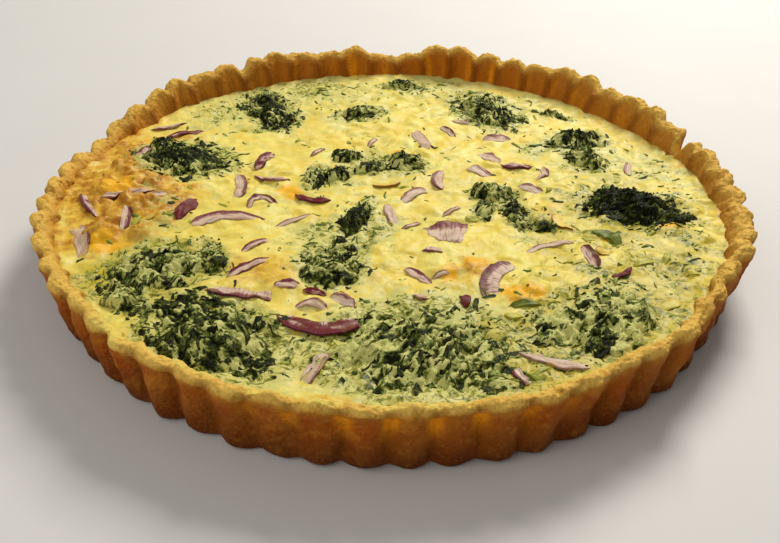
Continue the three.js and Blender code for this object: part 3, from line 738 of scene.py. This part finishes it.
def drawn_section(section):
    """A smooth line through the control points, with its place along them."""
    rows, marks = [], []
    last = len(section) - 1
    for k, splits in enumerate(SECTION_SPLITS):
        a, b = section[max(k - 1, 0)], section[k]
        c, d = section[k + 1], section[min(k + 2, last)]
        for i in range(splits):
            t = i / splits
            rows.append(0.5 * (2 * b + (c - a) * t + (2 * a - 5 * b + 4 * c - d) * t * t
                               + (3 * b - a - 3 * c + d) * t ** 3))
            marks.append(k + t)
    rows.append(section[last])
    marks.append(float(last))
    return np.array(rows), np.array(marks)


def crumble(around, along, crest, flaky):
    """Crumbs and flakes of the pastry, pushed out of its surface."""

    def cells(size):
        return max(4, round(GIRTH / size))

    def grain(size, seed, stretch=1.0):
        return ripple(around / GIRTH * cells(size), along / size * stretch, seed, cells(size))

    def crumbs(size, seed):
        bend = 0.35 * size * grain(size * 1.6, seed + 2)
        return curds(around / GIRTH * cells(size), (along + bend) / size, seed, cells(size))

    swell = 0.80 * grain(13, 1) + 0.75 * grain(6, 2, 0.7)
    wall = 0.25 * grain(3.0, 3) + 0.16 * crumbs(3.4, 5)
    broken = 0.55 * crumbs(5.2, 6) + 0.42 * crumbs(2.6, 7) + 0.22 * grain(1.5, 4) - 0.45
    flakes = 1.05 * crumbs(6.5, 8) + 0.60 * grain(3, 9, 2.6) - 0.4
    return swell + wall + broken * (0.25 + 0.75 * crest) + flakes * flaky * (0.3 + 0.7 * crest)


def build_crust(finish):
    angle, bump, section = crust_sections(STEPS_PER_FLUTE)
    rows, marks = drawn_section(section)
    nothing_selected()
    bpy.ops.mesh.primitive_circle_add(vertices=len(angle), radius=0.1, fill_type="NOTHING")
    crust = newest("crust_shell")
    editing(whole=True)
    for _ in range(len(rows) - 1):
        bpy.ops.mesh.extrude_region_move(TRANSFORM_OT_translate={"value": (0, 0, MM)})
    bpy.ops.mesh.edge_face_add()
    editing_done()
    rings = points(crust)
    level = np.rint(rings[:, 2] - rings[:, 2].min()).astype(int)
    turn = np.degrees(np.arctan2(rings[:, 0], -rings[:, 1]))
    step = np.rint((turn - angle[0]) / 360 * len(angle)).astype(int) % len(angle)
    around = (angle[step] - angle[0]) / 360 * GIRTH
    radius, z = rows[level, 0, step], rows[level, 1, step]
    mark = marks[level]
    along = np.cumsum(np.r_[0, np.hypot(*np.diff(rows.mean(axis=2), axis=0).T)])[level]
    crest = bell(mark - 4.9, 1.35)
    flaky = ease(round_bell(turn, 88, 42), 0.1, 0.7)
    amount = ease(mark, 0.2, 1.4) * (1 - ease(mark, 7.2, 7.9))
    push = crumble(around, along, crest, flaky) * amount
    ahead = rows[np.minimum(level + 1, len(rows) - 1), :, step]
    behind = rows[np.maximum(level - 1, 0), :, step]
    run = ahead - behind
    length = np.hypot(run[:, 0], run[:, 1]) + 1e-6
    radius = radius + push * run[:, 1] / length
    z = z - push * run[:, 0] / length
    crack = round_bell(turn + 1.3 * np.sin(mark * 4), -83.5, 0.35) * crest
    z = np.maximum(z - 1.3 * crack, 0)
    z[level == 0] = 0

    def wavering(count, size, seed):
        return ripple(around / GIRTH * count, along / size, seed, count)

    bearing = np.radians(turn + 0.8 * wavering(34, 15, 12))
    set_points(crust, np.stack([radius * np.sin(bearing), -radius * np.cos(bearing), z], axis=1))

    def side(at, reach):
        return round_bell(turn, at, reach)

    hollow = 1 - ease(bump[step], 0.1, 0.8)
    # darker on the right and at the back, and painted shade in the grooves on the left
    darker = 0.2 * side(92, 34) + 0.4 * side(-165, 50) + 0.7 * hollow * side(-95, 45)
    # stripes for the painted highlights on the inner wall
    sugary = ease(ripple(around / 7, 0 * around, 8), -0.1, 0.4)
    lap = wavering(90, 8, 9)
    splash = side(-12, 30) * ease(mark + 1.1 * lap, 4.9, 5.8)
    keep(crust, crest=ease(mark, 3.3, 4.5) * (1 - ease(mark, 5.9, 6.8)),
         # wall: partly the pastry's own colour, partly painted shade
         wall=1 - ease(mark, 2.6, 4.3),
         # painted shade towards the foot of the wall
         foot=1 - ease(mark, 0.9, 2.7),
         # groove: painted shade in the hollows of the flutes
         groove=hollow * (1 - ease(mark, 4.2, 5.2) + 0.9 * ease(mark, 5.9, 6.3)),
         # darker by side, with painted shade in the left grooves
         brown=np.clip(darker, 0, 1),
         # inner: partly the wall's own colour, partly painted shade at the back
         inner=ease(mark, 5.6, 6.3) * (0.12 + 0.88 * side(170, 66)),
         # painted glow in the front grooves and painted highlights on the back inner bumps
         glaze=1.4 * hollow * bell(mark - 3.0, 0.75) * side(4, 20)
         + 1.1 * (1 - hollow) * bell(mark - 6.7, 0.7) * side(168, 38) * sugary,
         splash=np.clip(splash + side(-42, 4) * ease(mark + 1.3 * lap, 3.6, 4.4), 0, 1))
    editing(whole=False)
    bpy.ops.mesh.select_non_manifold()
    closed_up()
    smooth(crust)
    finish_piece(crust, finish, "crust", "crust")


# Custard

def crust_inside(angle_deg):
    """Inner face of the crust at the custard's level."""
    angle, _, section = crust_sections(4)
    rim_edge, wall = section[6], section[7]
    bearing = np.radians(angle)
    x, y = WALL_INNER_RADIUS * np.sin(bearing), -WALL_INNER_RADIUS * np.cos(bearing)
    t = np.clip((surface(x, y) - wall[1]) / (rim_edge[1] - wall[1]), 0, 1)
    inside = wall[0] + (rim_edge[0] - wall[0]) * t
    return np.interp(angle_deg, angle, inside, period=360)


def bearing_of(x, y):
    return np.degrees(np.arctan2(x, -y))


def inside_crust(x, y):
    """How far a place on the custard lies inside the crust."""
    return crust_inside(bearing_of(x, y)) - np.hypot(x, y)


def skin_detail(x, y):
    """The small lumps and wrinkles of the baked skin."""
    wx = x + 2.2 * ripple(x / 7, y / 7, 51) + 0.8 * ripple(x / 2.6, y / 2.6, 52)
    wy = y + 2.2 * ripple(x / 7, y / 7, 53) + 0.8 * ripple(x / 2.6, y / 2.6, 54)
    lumpy = 0.30 + 0.70 * ease(rough(x, y, 26, 55, 2), -0.45, 0.4)
    lumps = 1.25 * curds(wx / 9, wy / 7.5, 21) + 0.22 * curds(wx / 4, wy / 3.5, 23)
    swells = 0.70 * rough(x, y, 15, 25, 2) + 0.45 * rough(x, y, 5.5, 31, 1)
    crags, ragged = 0, 0.30 * ripple(x / 3, y / 3, 57)
    for cx, cy, reach, high in CRAGS:
        edge = np.hypot(x - cx, y - cy) / reach + ragged
        crags = crags + high * (1 - ease(edge, 0.6, 1.15))
    crags = crags * (1 + 0.35 * ripple(x / 2.1, y / 2.1, 58))
    wrinkles = 0.26 * ridged(x, y, 6, 41) + 0.05 * ripple(x / 1.6, y / 1.6, 47)
    baked = bell(np.hypot(x + 96, (y + 2) * 0.75), 19)
    baked = baked * (1.3 * curds(wx / 5, wy / 4.4, 61) + 1.1 * rough(x, y, 5.5, 62, 3))
    calm = 1 - 0.65 * ease(y, 10, 60) * bell(inside_crust(x, y), 6)
    lumps = (lumps - 0.8) * lumpy * 0.95 + swells * 0.85
    return lumps * calm + crags + wrinkles + baked - 0.1


def custard_height(x, y):
    return surface(x, y) + skin_detail(x, y)


def nearest_heap(x, y):
    near = np.full(np.shape(x), 9.0)
    for heap in sum(SPINACH, []):
        near = np.minimum(near, heap_distance(x, y, heap))
    return near


def build_custard(finish):
    custard = grid("custard_filling", CUSTARD_CELLS, CUSTARD_CELLS, CUSTARD_SPAN)
    flat = points(custard)
    trim(custard, inside_crust(flat[:, 0], flat[:, 1]) < -INTO_CRUST)
    flat = points(custard)
    x, y, below = flat[:, 0], flat[:, 1], flat[:, 2] < -1
    detail, near = skin_detail(x, y), nearest_heap(x, y)
    rim_gap = inside_crust(x, y)
    lap = bell(np.hypot(x + 12, (y + 112) * 1.6), 42)
    climb = (0.9 + 1.4 * lap) * bell(np.minimum(rim_gap, 9), 2.2 + 3 * lap)
    z = surface(x, y) + detail + climb - 0.8 * (1 - ease(near, 0.6, 0.95))
    z = np.where(below, CUSTARD_FLOOR, z)
    shrink = np.where(below, 0.95, 1.0)
    set_points(custard, np.stack([x * shrink, y * shrink, z], axis=1))
    toast = spots(x, y, TOASTED) * (0.45 + 0.8 * ease(detail + 0.8, 0.1, 1.3))
    toast = toast + 0.5 * bell(rim_gap, 3.0) * ease(rough(x, y, 9, 61, 2), -0.5, 0.5)
    golden, ragged = 0, 1.6 * rough(x, y, 4, 67, 2)
    for gx, gy, reach in GOLDEN:
        golden = golden + bell(np.hypot(x - gx, y - gy) + ragged, reach)
    sides = ease(x, 12, 48) * ease(-y, -40, 20) + bell(np.hypot(x + 86, y + 50), 34)
    keep(custard, toast=np.clip(toast, 0, 1), golden=ease(golden, 0.12, 0.60),
         green=np.clip(greenness(x, y, near), 0, 1),
         olive=np.clip(sides * (0.7 + 0.5 * rough(x, y, 12, 69, 2)), 0, 1),
         cream=ease(rough(x, y, 16, 65, 2), -0.3, 0.6),
         # painted shade in the low places of the skin
         dip=1 - ease(detail, -0.7, 0.15))
    smooth(custard)
    finish_piece(custard, finish, "custard", "filling")


def greenness(x, y, near):
    """How far the spinach has coloured the custard and strewn it with shreds."""
    green = 0.9 * bell(np.maximum(near - 1, 0), 0.25) + spots(x, y, TINTED)
    slanted = 0.45 + 0.75 * ripple((x * 0.5 + y * 0.87) / 5, (x * 0.87 - y * 0.5) / 17, 63)
    return green + 1.2 * ease(x, 30, 66) * ease(-y, -62, 5) * slanted


# Leaves and shreds

def strip_blank(name, long_cells, wide_cells, thick):
    """A flat strip 2 mm square, for bending into leaves and shreds."""
    return modified(grid(name, long_cells, wide_cells), "SOLIDIFY", thickness=thick * MM, offset=0)


def copies(blank, count, name):
    """So many copies of a blank in one mesh, one after another."""
    return modified(copy_of(blank, name), "ARRAY", count=count)


def picker(random, count):
    """Draws columns of random numbers, the nearer to low the higher the bias."""
    def pick(low, high, bias=1.0):
        return low + (high - low) * random.uniform(0, 1, (count, 1)) ** bias
    return pick


def put_away(*blanks):
    nothing_selected()
    for blank in blanks:
        blank.select_set(True)
    bpy.ops.object.delete()


def bend(blank, sheet):
    """Every copy of the blank laid on the sheet given, keeping its thickness."""
    flat = points(blank)
    s, t, side = flat[None, :, 0], flat[None, :, 1], flat[None, :, 2]
    here = sheet(s, t)
    along, across = sheet(s + 0.02, t) - here, sheet(s, t + 0.02) - here
    normal = np.cross(along, across)
    normal = normal / (np.linalg.norm(normal, axis=-1, keepdims=True) + 1e-9)
    return here + normal * side[..., None]


def leaf_sheet(x, y, turn, long, wide, fold, roll, lift, phase, ground):
    """The middle surface of wilted leaves, as a function of the two ways across them."""
    c, k = np.cos(turn), np.sin(turn)

    def sheet(s, t):
        half = wide / 2 * (1 - 0.72 * np.abs(s) ** 2.4) * (0.86 + 0.18 * np.sin(5 * s + phase))
        along = s * long / 2
        across = t * half + 0.14 * long * np.sin(1.9 * s + phase)
        px, py = x + along * c - across * k, y + along * k + across * c
        ruffle = 0.55 * np.sin(6.5 * s + 2 * phase) * t + 0.40 * np.sin(4.1 * s - phase)
        crease = -np.abs(t + 0.35 * np.sin(2.3 * s + phase)) * fold
        up = ground(px, py) + lift * (1 - s * s) - 0.7 * np.abs(s) ** 3
        up = up + half * (crease + roll * t) + ruffle * wide * 0.28
        return np.stack(np.broadcast_arrays(px, py, up), axis=-1)
    return sheet


# Spinach

def along_folds(x, y, flow, seed):
    """Places measured along and across folds that wander one way."""
    u, v = on_plan(0, 0, -flow, x, y)
    return u, v + 2.6 * ripple(u / 9, v / 9, seed + 1) + 0.7 * ripple(u / 3, v / 3, seed + 2)


def leaf_size(heap):
    """How large a heap's leaves and folds are, against those of a middling heap."""
    return min(max(math.sqrt(heap[2] * heap[3]) / 30, 0.75), 1.4)


def heap_top(x, y, heap, seed, flow):
    """Height of a heap's crumpled top, how crumpled it is, and the way out from its middle."""
    tall, size = heap[5], leaf_size(heap)
    ragged = 0.46 * rough(x, y, 12, seed, 3) + 0.24 * rough(x, y, 3.5, seed + 7, 2)
    distance = heap_distance(x, y, heap) + ragged / size
    dome = 1 - ease(distance, 0.0, 1.15)
    u, v = along_folds(x, y, flow, seed)
    fold = np.abs(ripple(u / 6.5 / size, v / 2.6 / size, seed + 11)
                  + 0.5 * ripple(u / 3, v / 1.3, seed + 13))
    crumple = np.clip(1 - 1.7 * fold, 0, 1) + 0.25 * ridged(x, y, 2.6, seed + 17)
    crumple = crumple + 0.14 * ripple(x / 1.2, y / 1.2, seed + 19)
    height = tall * 0.52 * dome + crumple * (0.9 + 0.9 * dome) - 0.35
    height = height - 2.6 * ease(distance, 0.55, 1.2)
    z = 0.6 * custard_height(x, y) + 0.4 * surface(x, y) + height
    return z, crumple, distance


def heap_mesh(heap, seed, film, fullness, flow):
    """A crumpled mound of wilted leaf that dips under the custard at its edge."""
    hx, hy, long, wide, turn, _ = heap
    long, wide = long * HEAP_SPREAD, wide * HEAP_SPREAD
    mound = grid("heap", round(long / HEAP_CELL), round(wide / HEAP_CELL))
    flat = points(mound)
    x, y = on_plan(hx, hy, turn, flat[:, 0] * long / 2, flat[:, 1] * wide / 2)
    set_points(mound, np.stack([x, y, 0 * x], axis=1))
    away = heap_top(x, y, heap, seed, flow)[2]
    trim(mound, (away > 1.25) | (inside_crust(x, y) < 0.3))
    flat = points(mound)
    x, y, below = flat[:, 0], flat[:, 1], flat[:, 2] < -1
    z, crumple, distance = heap_top(x, y, heap, seed, flow)
    z = np.where(below, np.minimum(z, custard_height(x, y)) - 3, z)
    set_points(mound, np.stack([x, y, z], axis=1))
    u, v = along_folds(x, y, flow, seed)
    streaked = 0.6 * ripple(u / 7, v / 2.2, seed + 23) + 0.4 * ripple(u / 3.5, v / 1.1, seed + 27)
    # the crumple shares here and in tone paint light on the mound: fold ridges lighter, folds darker
    marbled = 0.8 * rough(x, y, 9, seed + 29, 2) + 0.9 * streaked + 0.3 * (crumple - 0.5) - 0.18
    marbled = marbled + 0.8 * (film - 0.45) + 0.5 * (distance - 0.6) - 0.5 * (fullness - 0.7)
    # tone: partly painted light, lighter on the fold ridges
    keep(mound, tone=np.clip(0.1 + 0.5 * crumple + 0.6 * streaked, 0, 1),
         film=ease(marbled, -0.5, 0.55))
    smooth(mound)
    return mound


def clump_leaves(blank, heaps, seed, tone, film, fullness, flow):
    """The separate leaves that lie crumpled over a clump."""
    random = np.random.default_rng(seed)
    rows = []
    for k, heap in enumerate(heaps):
        hx, hy, long, wide, turn, _ = heap
        size = leaf_size(heap)
        for _ in range(round((long * wide + 45) * fullness / 4.6 / size ** 1.5)):
            spoke = random.uniform(0, 2 * math.pi)
            reach = 1.3 * random.uniform(0, 1) ** 0.62
            x, y = on_plan(hx, hy, turn, math.cos(spoke) * long / 2 * reach,
                           math.sin(spoke) * wide / 2 * reach)
            rows.append((x, y, reach, size))
    x, y, reach, size = (np.array(column)[:, None] for column in zip(*rows))
    count = len(rows)
    pick = picker(random, count)

    def ground(px, py):
        tops = [heap_top(px, py, heap, seed + k, flow)[0] for k, heap in enumerate(heaps)]
        return np.maximum(np.max(tops, axis=0), custard_height(px, py) - 0.3)

    turn = math.radians(flow) + 0.9 * ripple(x / 13, y / 13, seed + 33) + pick(-0.7, 0.7)
    sheet = leaf_sheet(
        x, y, turn, pick(2.4, 11.0, 1.6) * size, pick(0.8, 3.0, 1.5) * size, pick(-0.5, 0.8),
        pick(-0.5, 0.5), pick(-0.7, 0.6) * (1.1 - 0.6 * reach), pick(0, 6.28), ground)
    leaves = copies(blank, count, "leaves")
    places = bend(blank, sheet)
    px, py = places[..., 0], places[..., 1]
    radius = np.hypot(px, py)
    pull = np.minimum(1, (crust_inside(bearing_of(px, py)) - 0.4) / radius)
    places[..., 0], places[..., 1] = px * pull, py * pull
    set_points(leaves, places.reshape(-1, 3))
    per_leaf = np.ones(places.shape[:2])
    streaked = 0.5 + 0.8 * ripple(px / 1.6, py / 1.6, seed + 37)
    keep(leaves, tone=np.clip(per_leaf * (tone + pick(-0.3, 0.45, 1.4)), 0, 1),
         film=np.clip(per_leaf * film * pick(0, 1.4, 1.6) * streaked, 0, 1))
    smooth(leaves)
    return leaves


def joined(pieces, name):
    nothing_selected()
    for piece in pieces:
        piece.select_set(True)
    bpy.context.view_layer.objects.active = pieces[0]
    bpy.ops.object.join()
    return newest(name)


def build_spinach(finish):
    blank = strip_blank("leaf_blank", 7, 2, 0.3)
    for index, heaps in enumerate(SPINACH):
        seed = 100 + index * 40
        tone, film, fullness, flow = SPINACH_LOOKS[index]
        parts = [heap_mesh(heap, seed + k, film, fullness, flow) for k, heap in enumerate(heaps)]
        parts.append(clump_leaves(blank, heaps, seed, tone, film, fullness, flow))
        clump = joined(parts, f"spinach_clump_{index + 1:02d}")
        finish_piece(clump, finish, "spinach", f"spinach_{index + 1:02d}")
    put_away(blank)


# Onion and leek

def slice_blank(cuts):
    """A cube cut fine enough to bend, for shaping into every slice."""
    nothing_selected()
    bpy.ops.mesh.primitive_cube_add(size=2 * MM)
    blank = newest("slice_blank")
    editing(whole=True)
    bpy.ops.mesh.subdivide(number_cuts=cuts)
    editing_done()
    return blank


def shaped_slice(blank, name, facts, thick, across_layers=False, fan=0):
    """One slice: an arc of onion ring with its skin on the outer side of the bow."""
    x, y, turn, long, bow, wide, deep = facts
    piece = copy_of(blank, name)
    s, t, u = points(piece).T
    seed = abs(int(x * 7 + y * 13))
    random = np.random.default_rng(seed)
    blunt = (np.abs(s) ** 9 + np.abs(t) ** 9 + np.abs(u) ** 9) ** (1 / 9)
    s, t, u = s / blunt, t / blunt, u / blunt
    outer = t * (1 if bow >= 0 else -1)
    pointed = 0.15 if across_layers else 0.88 if wide < 5 else 0.45
    ends = pointed * np.abs(s) ** random.uniform(2.2, 6) * (1 + 0.12 * outer)
    wavy = 0.20 * ripple(s * 2.5, 0 * s, seed) + 0.10 * ripple(s * 8, t, seed + 1)
    half = wide * 0.46 * (1 - ends + wavy) * (1 + fan * s)
    along = s * long * 0.5 + 0.25 * ripple(t * 2, 0 * t + 5, seed + 2)
    across = bow * (1 - s * s)
    slope = -4 * bow * s / long
    run = np.hypot(1, slope)
    px, py = on_plan(x, y, turn, along - slope / run * half * t, across + half * t / run)
    bed = surface(px, py) * 0.2 + custard_height(px, py) * 0.8
    tilt = random.uniform(-0.16, 0.16) * half * t
    sunk = 0.6 * ease(s * random.choice([-1, 1]), 0.2, 1.0) + 0.35 * ease(np.abs(s), 0.6, 1.0)
    dish = (0.05 + 0.13 * outer) * min(wide, 6) * 0.5 * np.abs(t)
    uneven = 0.28 * rough(px, py, 6, seed + 9, 2) + 0.30 * ripple(s * 2, t, seed + 4)
    body = thick * 0.5 * (1 - 0.35 * s ** 4) * u
    up = bed + 0.08 + 0.45 * deep * deep + dish + tilt - sunk + body + uneven
    set_points(piece, np.stack([px, py, up], axis=1))
    keep(piece, deep=np.clip(deep + 0.20 * ripple(s * 3, t * 1.5, seed + 8), 0, 1),
         skin=ease(outer + 0.15 * ripple(s * 4, t, seed + 6), -0.1, 0.65),
         sunk=np.clip(sunk + 0.5 * uneven, 0, 1),
         edge=ease(outer, 0.74, 0.94) + 0.6 * ease(-outer, 0.86, 0.98))
    grain = piece.data.uv_layers.new(name="grain")
    corners = np.empty(len(piece.data.loops), dtype=int)
    piece.data.loops.foreach_get("vertex_index", corners)
    lengthwise, crosswise = s * long / 2 + seed, t * wide / 2
    if across_layers:
        lengthwise, crosswise = crosswise, lengthwise
    grain.data.foreach_set("uv", np.stack(
        [lengthwise[corners], crosswise[corners]], axis=1).ravel())
    bpy.ops.object.shade_smooth_by_angle(angle=math.radians(32))
    return piece


def build_slices():
    onion, leek = onion_finish(), leek_finish()
    blank = slice_blank(SLICE_CUTS)
    for index, facts in enumerate(ONION):
        piece = shaped_slice(blank, f"onion_slice_{index + 1:02d}", facts, ONION_THICKNESS,
                             index + 1 in CUT_ACROSS, FANNED.get(index + 1, 0))
        finish_piece(piece, onion, "onion", f"onion_{index + 1:02d}")
    for index, facts in enumerate(LEEK):
        piece = shaped_slice(blank, f"leek_slice_{index + 1:02d}", facts, LEEK_THICKNESS)
        finish_piece(piece, leek, "leek", f"leek_{index + 1:02d}")
    put_away(blank)
    thin = slice_blank(SLIVER_CUTS)
    for name, table, finish, slot in (("onion_slivers", ONION_SLIVERS, onion, "onion"),
                                      ("leek_bits", LEEK_BITS, leek, "leek")):
        bits = [shaped_slice(thin, "bit", facts, SLIVER_THICKNESS) for facts in table]
        finish_piece(joined(bits, name), finish, slot)
    put_away(thin)


# Chopped greens strewn over the custard

def build_flecks(finish):
    random = np.random.default_rng(11)
    spoke = random.uniform(0, 2 * math.pi, FLECK_TRIES)
    reach = FLECK_REACH * np.sqrt(random.uniform(0, 1, FLECK_TRIES))
    x, y = reach * np.sin(spoke), reach * np.cos(spoke)
    near = nearest_heap(x, y)
    chance = (0.015 + 0.24 * np.clip(greenness(x, y, near), 0, 1) ** 1.4) * (near > 0.7)
    chosen = random.uniform(0, 1, FLECK_TRIES) < chance
    x, y = x[chosen][:, None], y[chosen][:, None]
    count = len(x)
    pick = picker(random, count)
    blank = strip_blank("fleck_blank", 4, 1, 0.25)
    flecks = copies(blank, count, "chopped_greens")
    sheet = leaf_sheet(
        x, y, pick(0, 6.28), pick(1.2, 8.0, 2.2), pick(0.3, 1.9, 2.0), pick(-0.3, 0.5),
        pick(-0.4, 0.4), pick(-0.25, 0.3), pick(0, 6.28), custard_height)
    set_points(flecks, bend(blank, sheet).reshape(-1, 3))
    per_fleck = np.ones((count, len(blank.data.vertices)))
    keep(flecks, tone=per_fleck * pick(0, 1))
    smooth(flecks)
    put_away(blank)
    finish_piece(flecks, finish, "spinach")


# Light, floor and camera

def build_stage():
    nothing_selected()
    bpy.ops.mesh.primitive_plane_add(size=4, location=(0, 0, 0))
    floor = newest("floor")
    r = Recipe("pale_floor")
    grain = r.noise(40, 2)
    colour = r.blend(grain, (0.72, 0.71, 0.69), (0.76, 0.75, 0.73))
    floor.data.materials.append(r.bake(colour, 0.6, r.raised(grain, 0.2, 0.1)))
    world = bpy.data.worlds.new("soft_room")
    bpy.context.scene.world = world
    world.use_nodes = True
    room = world.node_tree.nodes["Background"].inputs
    room["Color"].default_value = (1.0, 0.97, 0.93, 1)
    room["Strength"].default_value = 0.24
    add_lamp("key", (0.32, 0.66, 0.70), 0.36, 9.2, (1.0, 0.95, 0.87))
    add_lamp("fill", (-0.45, -0.40, 0.5), 0.6, 1.6, (1.0, 0.97, 0.93))
    bpy.context.scene.view_settings.view_transform = "Standard"


def add_lamp(name, place, size, power, colour):
    nothing_selected()
    bpy.ops.object.light_add(type="AREA", location=place)
    lamp = bpy.context.object
    lamp.name = name
    lamp.data.size = size
    lamp.data.energy = power
    lamp.data.color = colour
    aim = Vector((0, 0, 0.015)) - Vector(place)
    lamp.rotation_euler = aim.to_track_quat("-Z", "Y").to_euler()


CAMERA_PLACE = Vector((0.0, -0.29153, 0.18997))
CAMERA_RIGHT = Vector((0.99991813, 0.0085774, 0.00949564))
CAMERA_UP = Vector((-0.01270564, 0.57746759, 0.81631474))
CAMERA_LENS = 43.72


def build_camera():
    camera = bpy.data.cameras.new("photo_view")
    camera.lens = CAMERA_LENS
    camera.sensor_width = 36
    camera.clip_start = 0.01
    holder = bpy.data.objects.new("photo_view", camera)
    bpy.context.collection.objects.link(holder)
    back = CAMERA_RIGHT.cross(CAMERA_UP)
    turned = Matrix((CAMERA_RIGHT, CAMERA_UP, back)).transposed().to_4x4()
    holder.matrix_world = Matrix.Translation(CAMERA_PLACE) @ turned
    bpy.context.scene.camera = holder


build_crust(crust_finish())
build_custard(custard_finish())
build_spinach(spinach_finish())
build_slices()
build_flecks(fleck_finish())
build_stage()
build_camera()
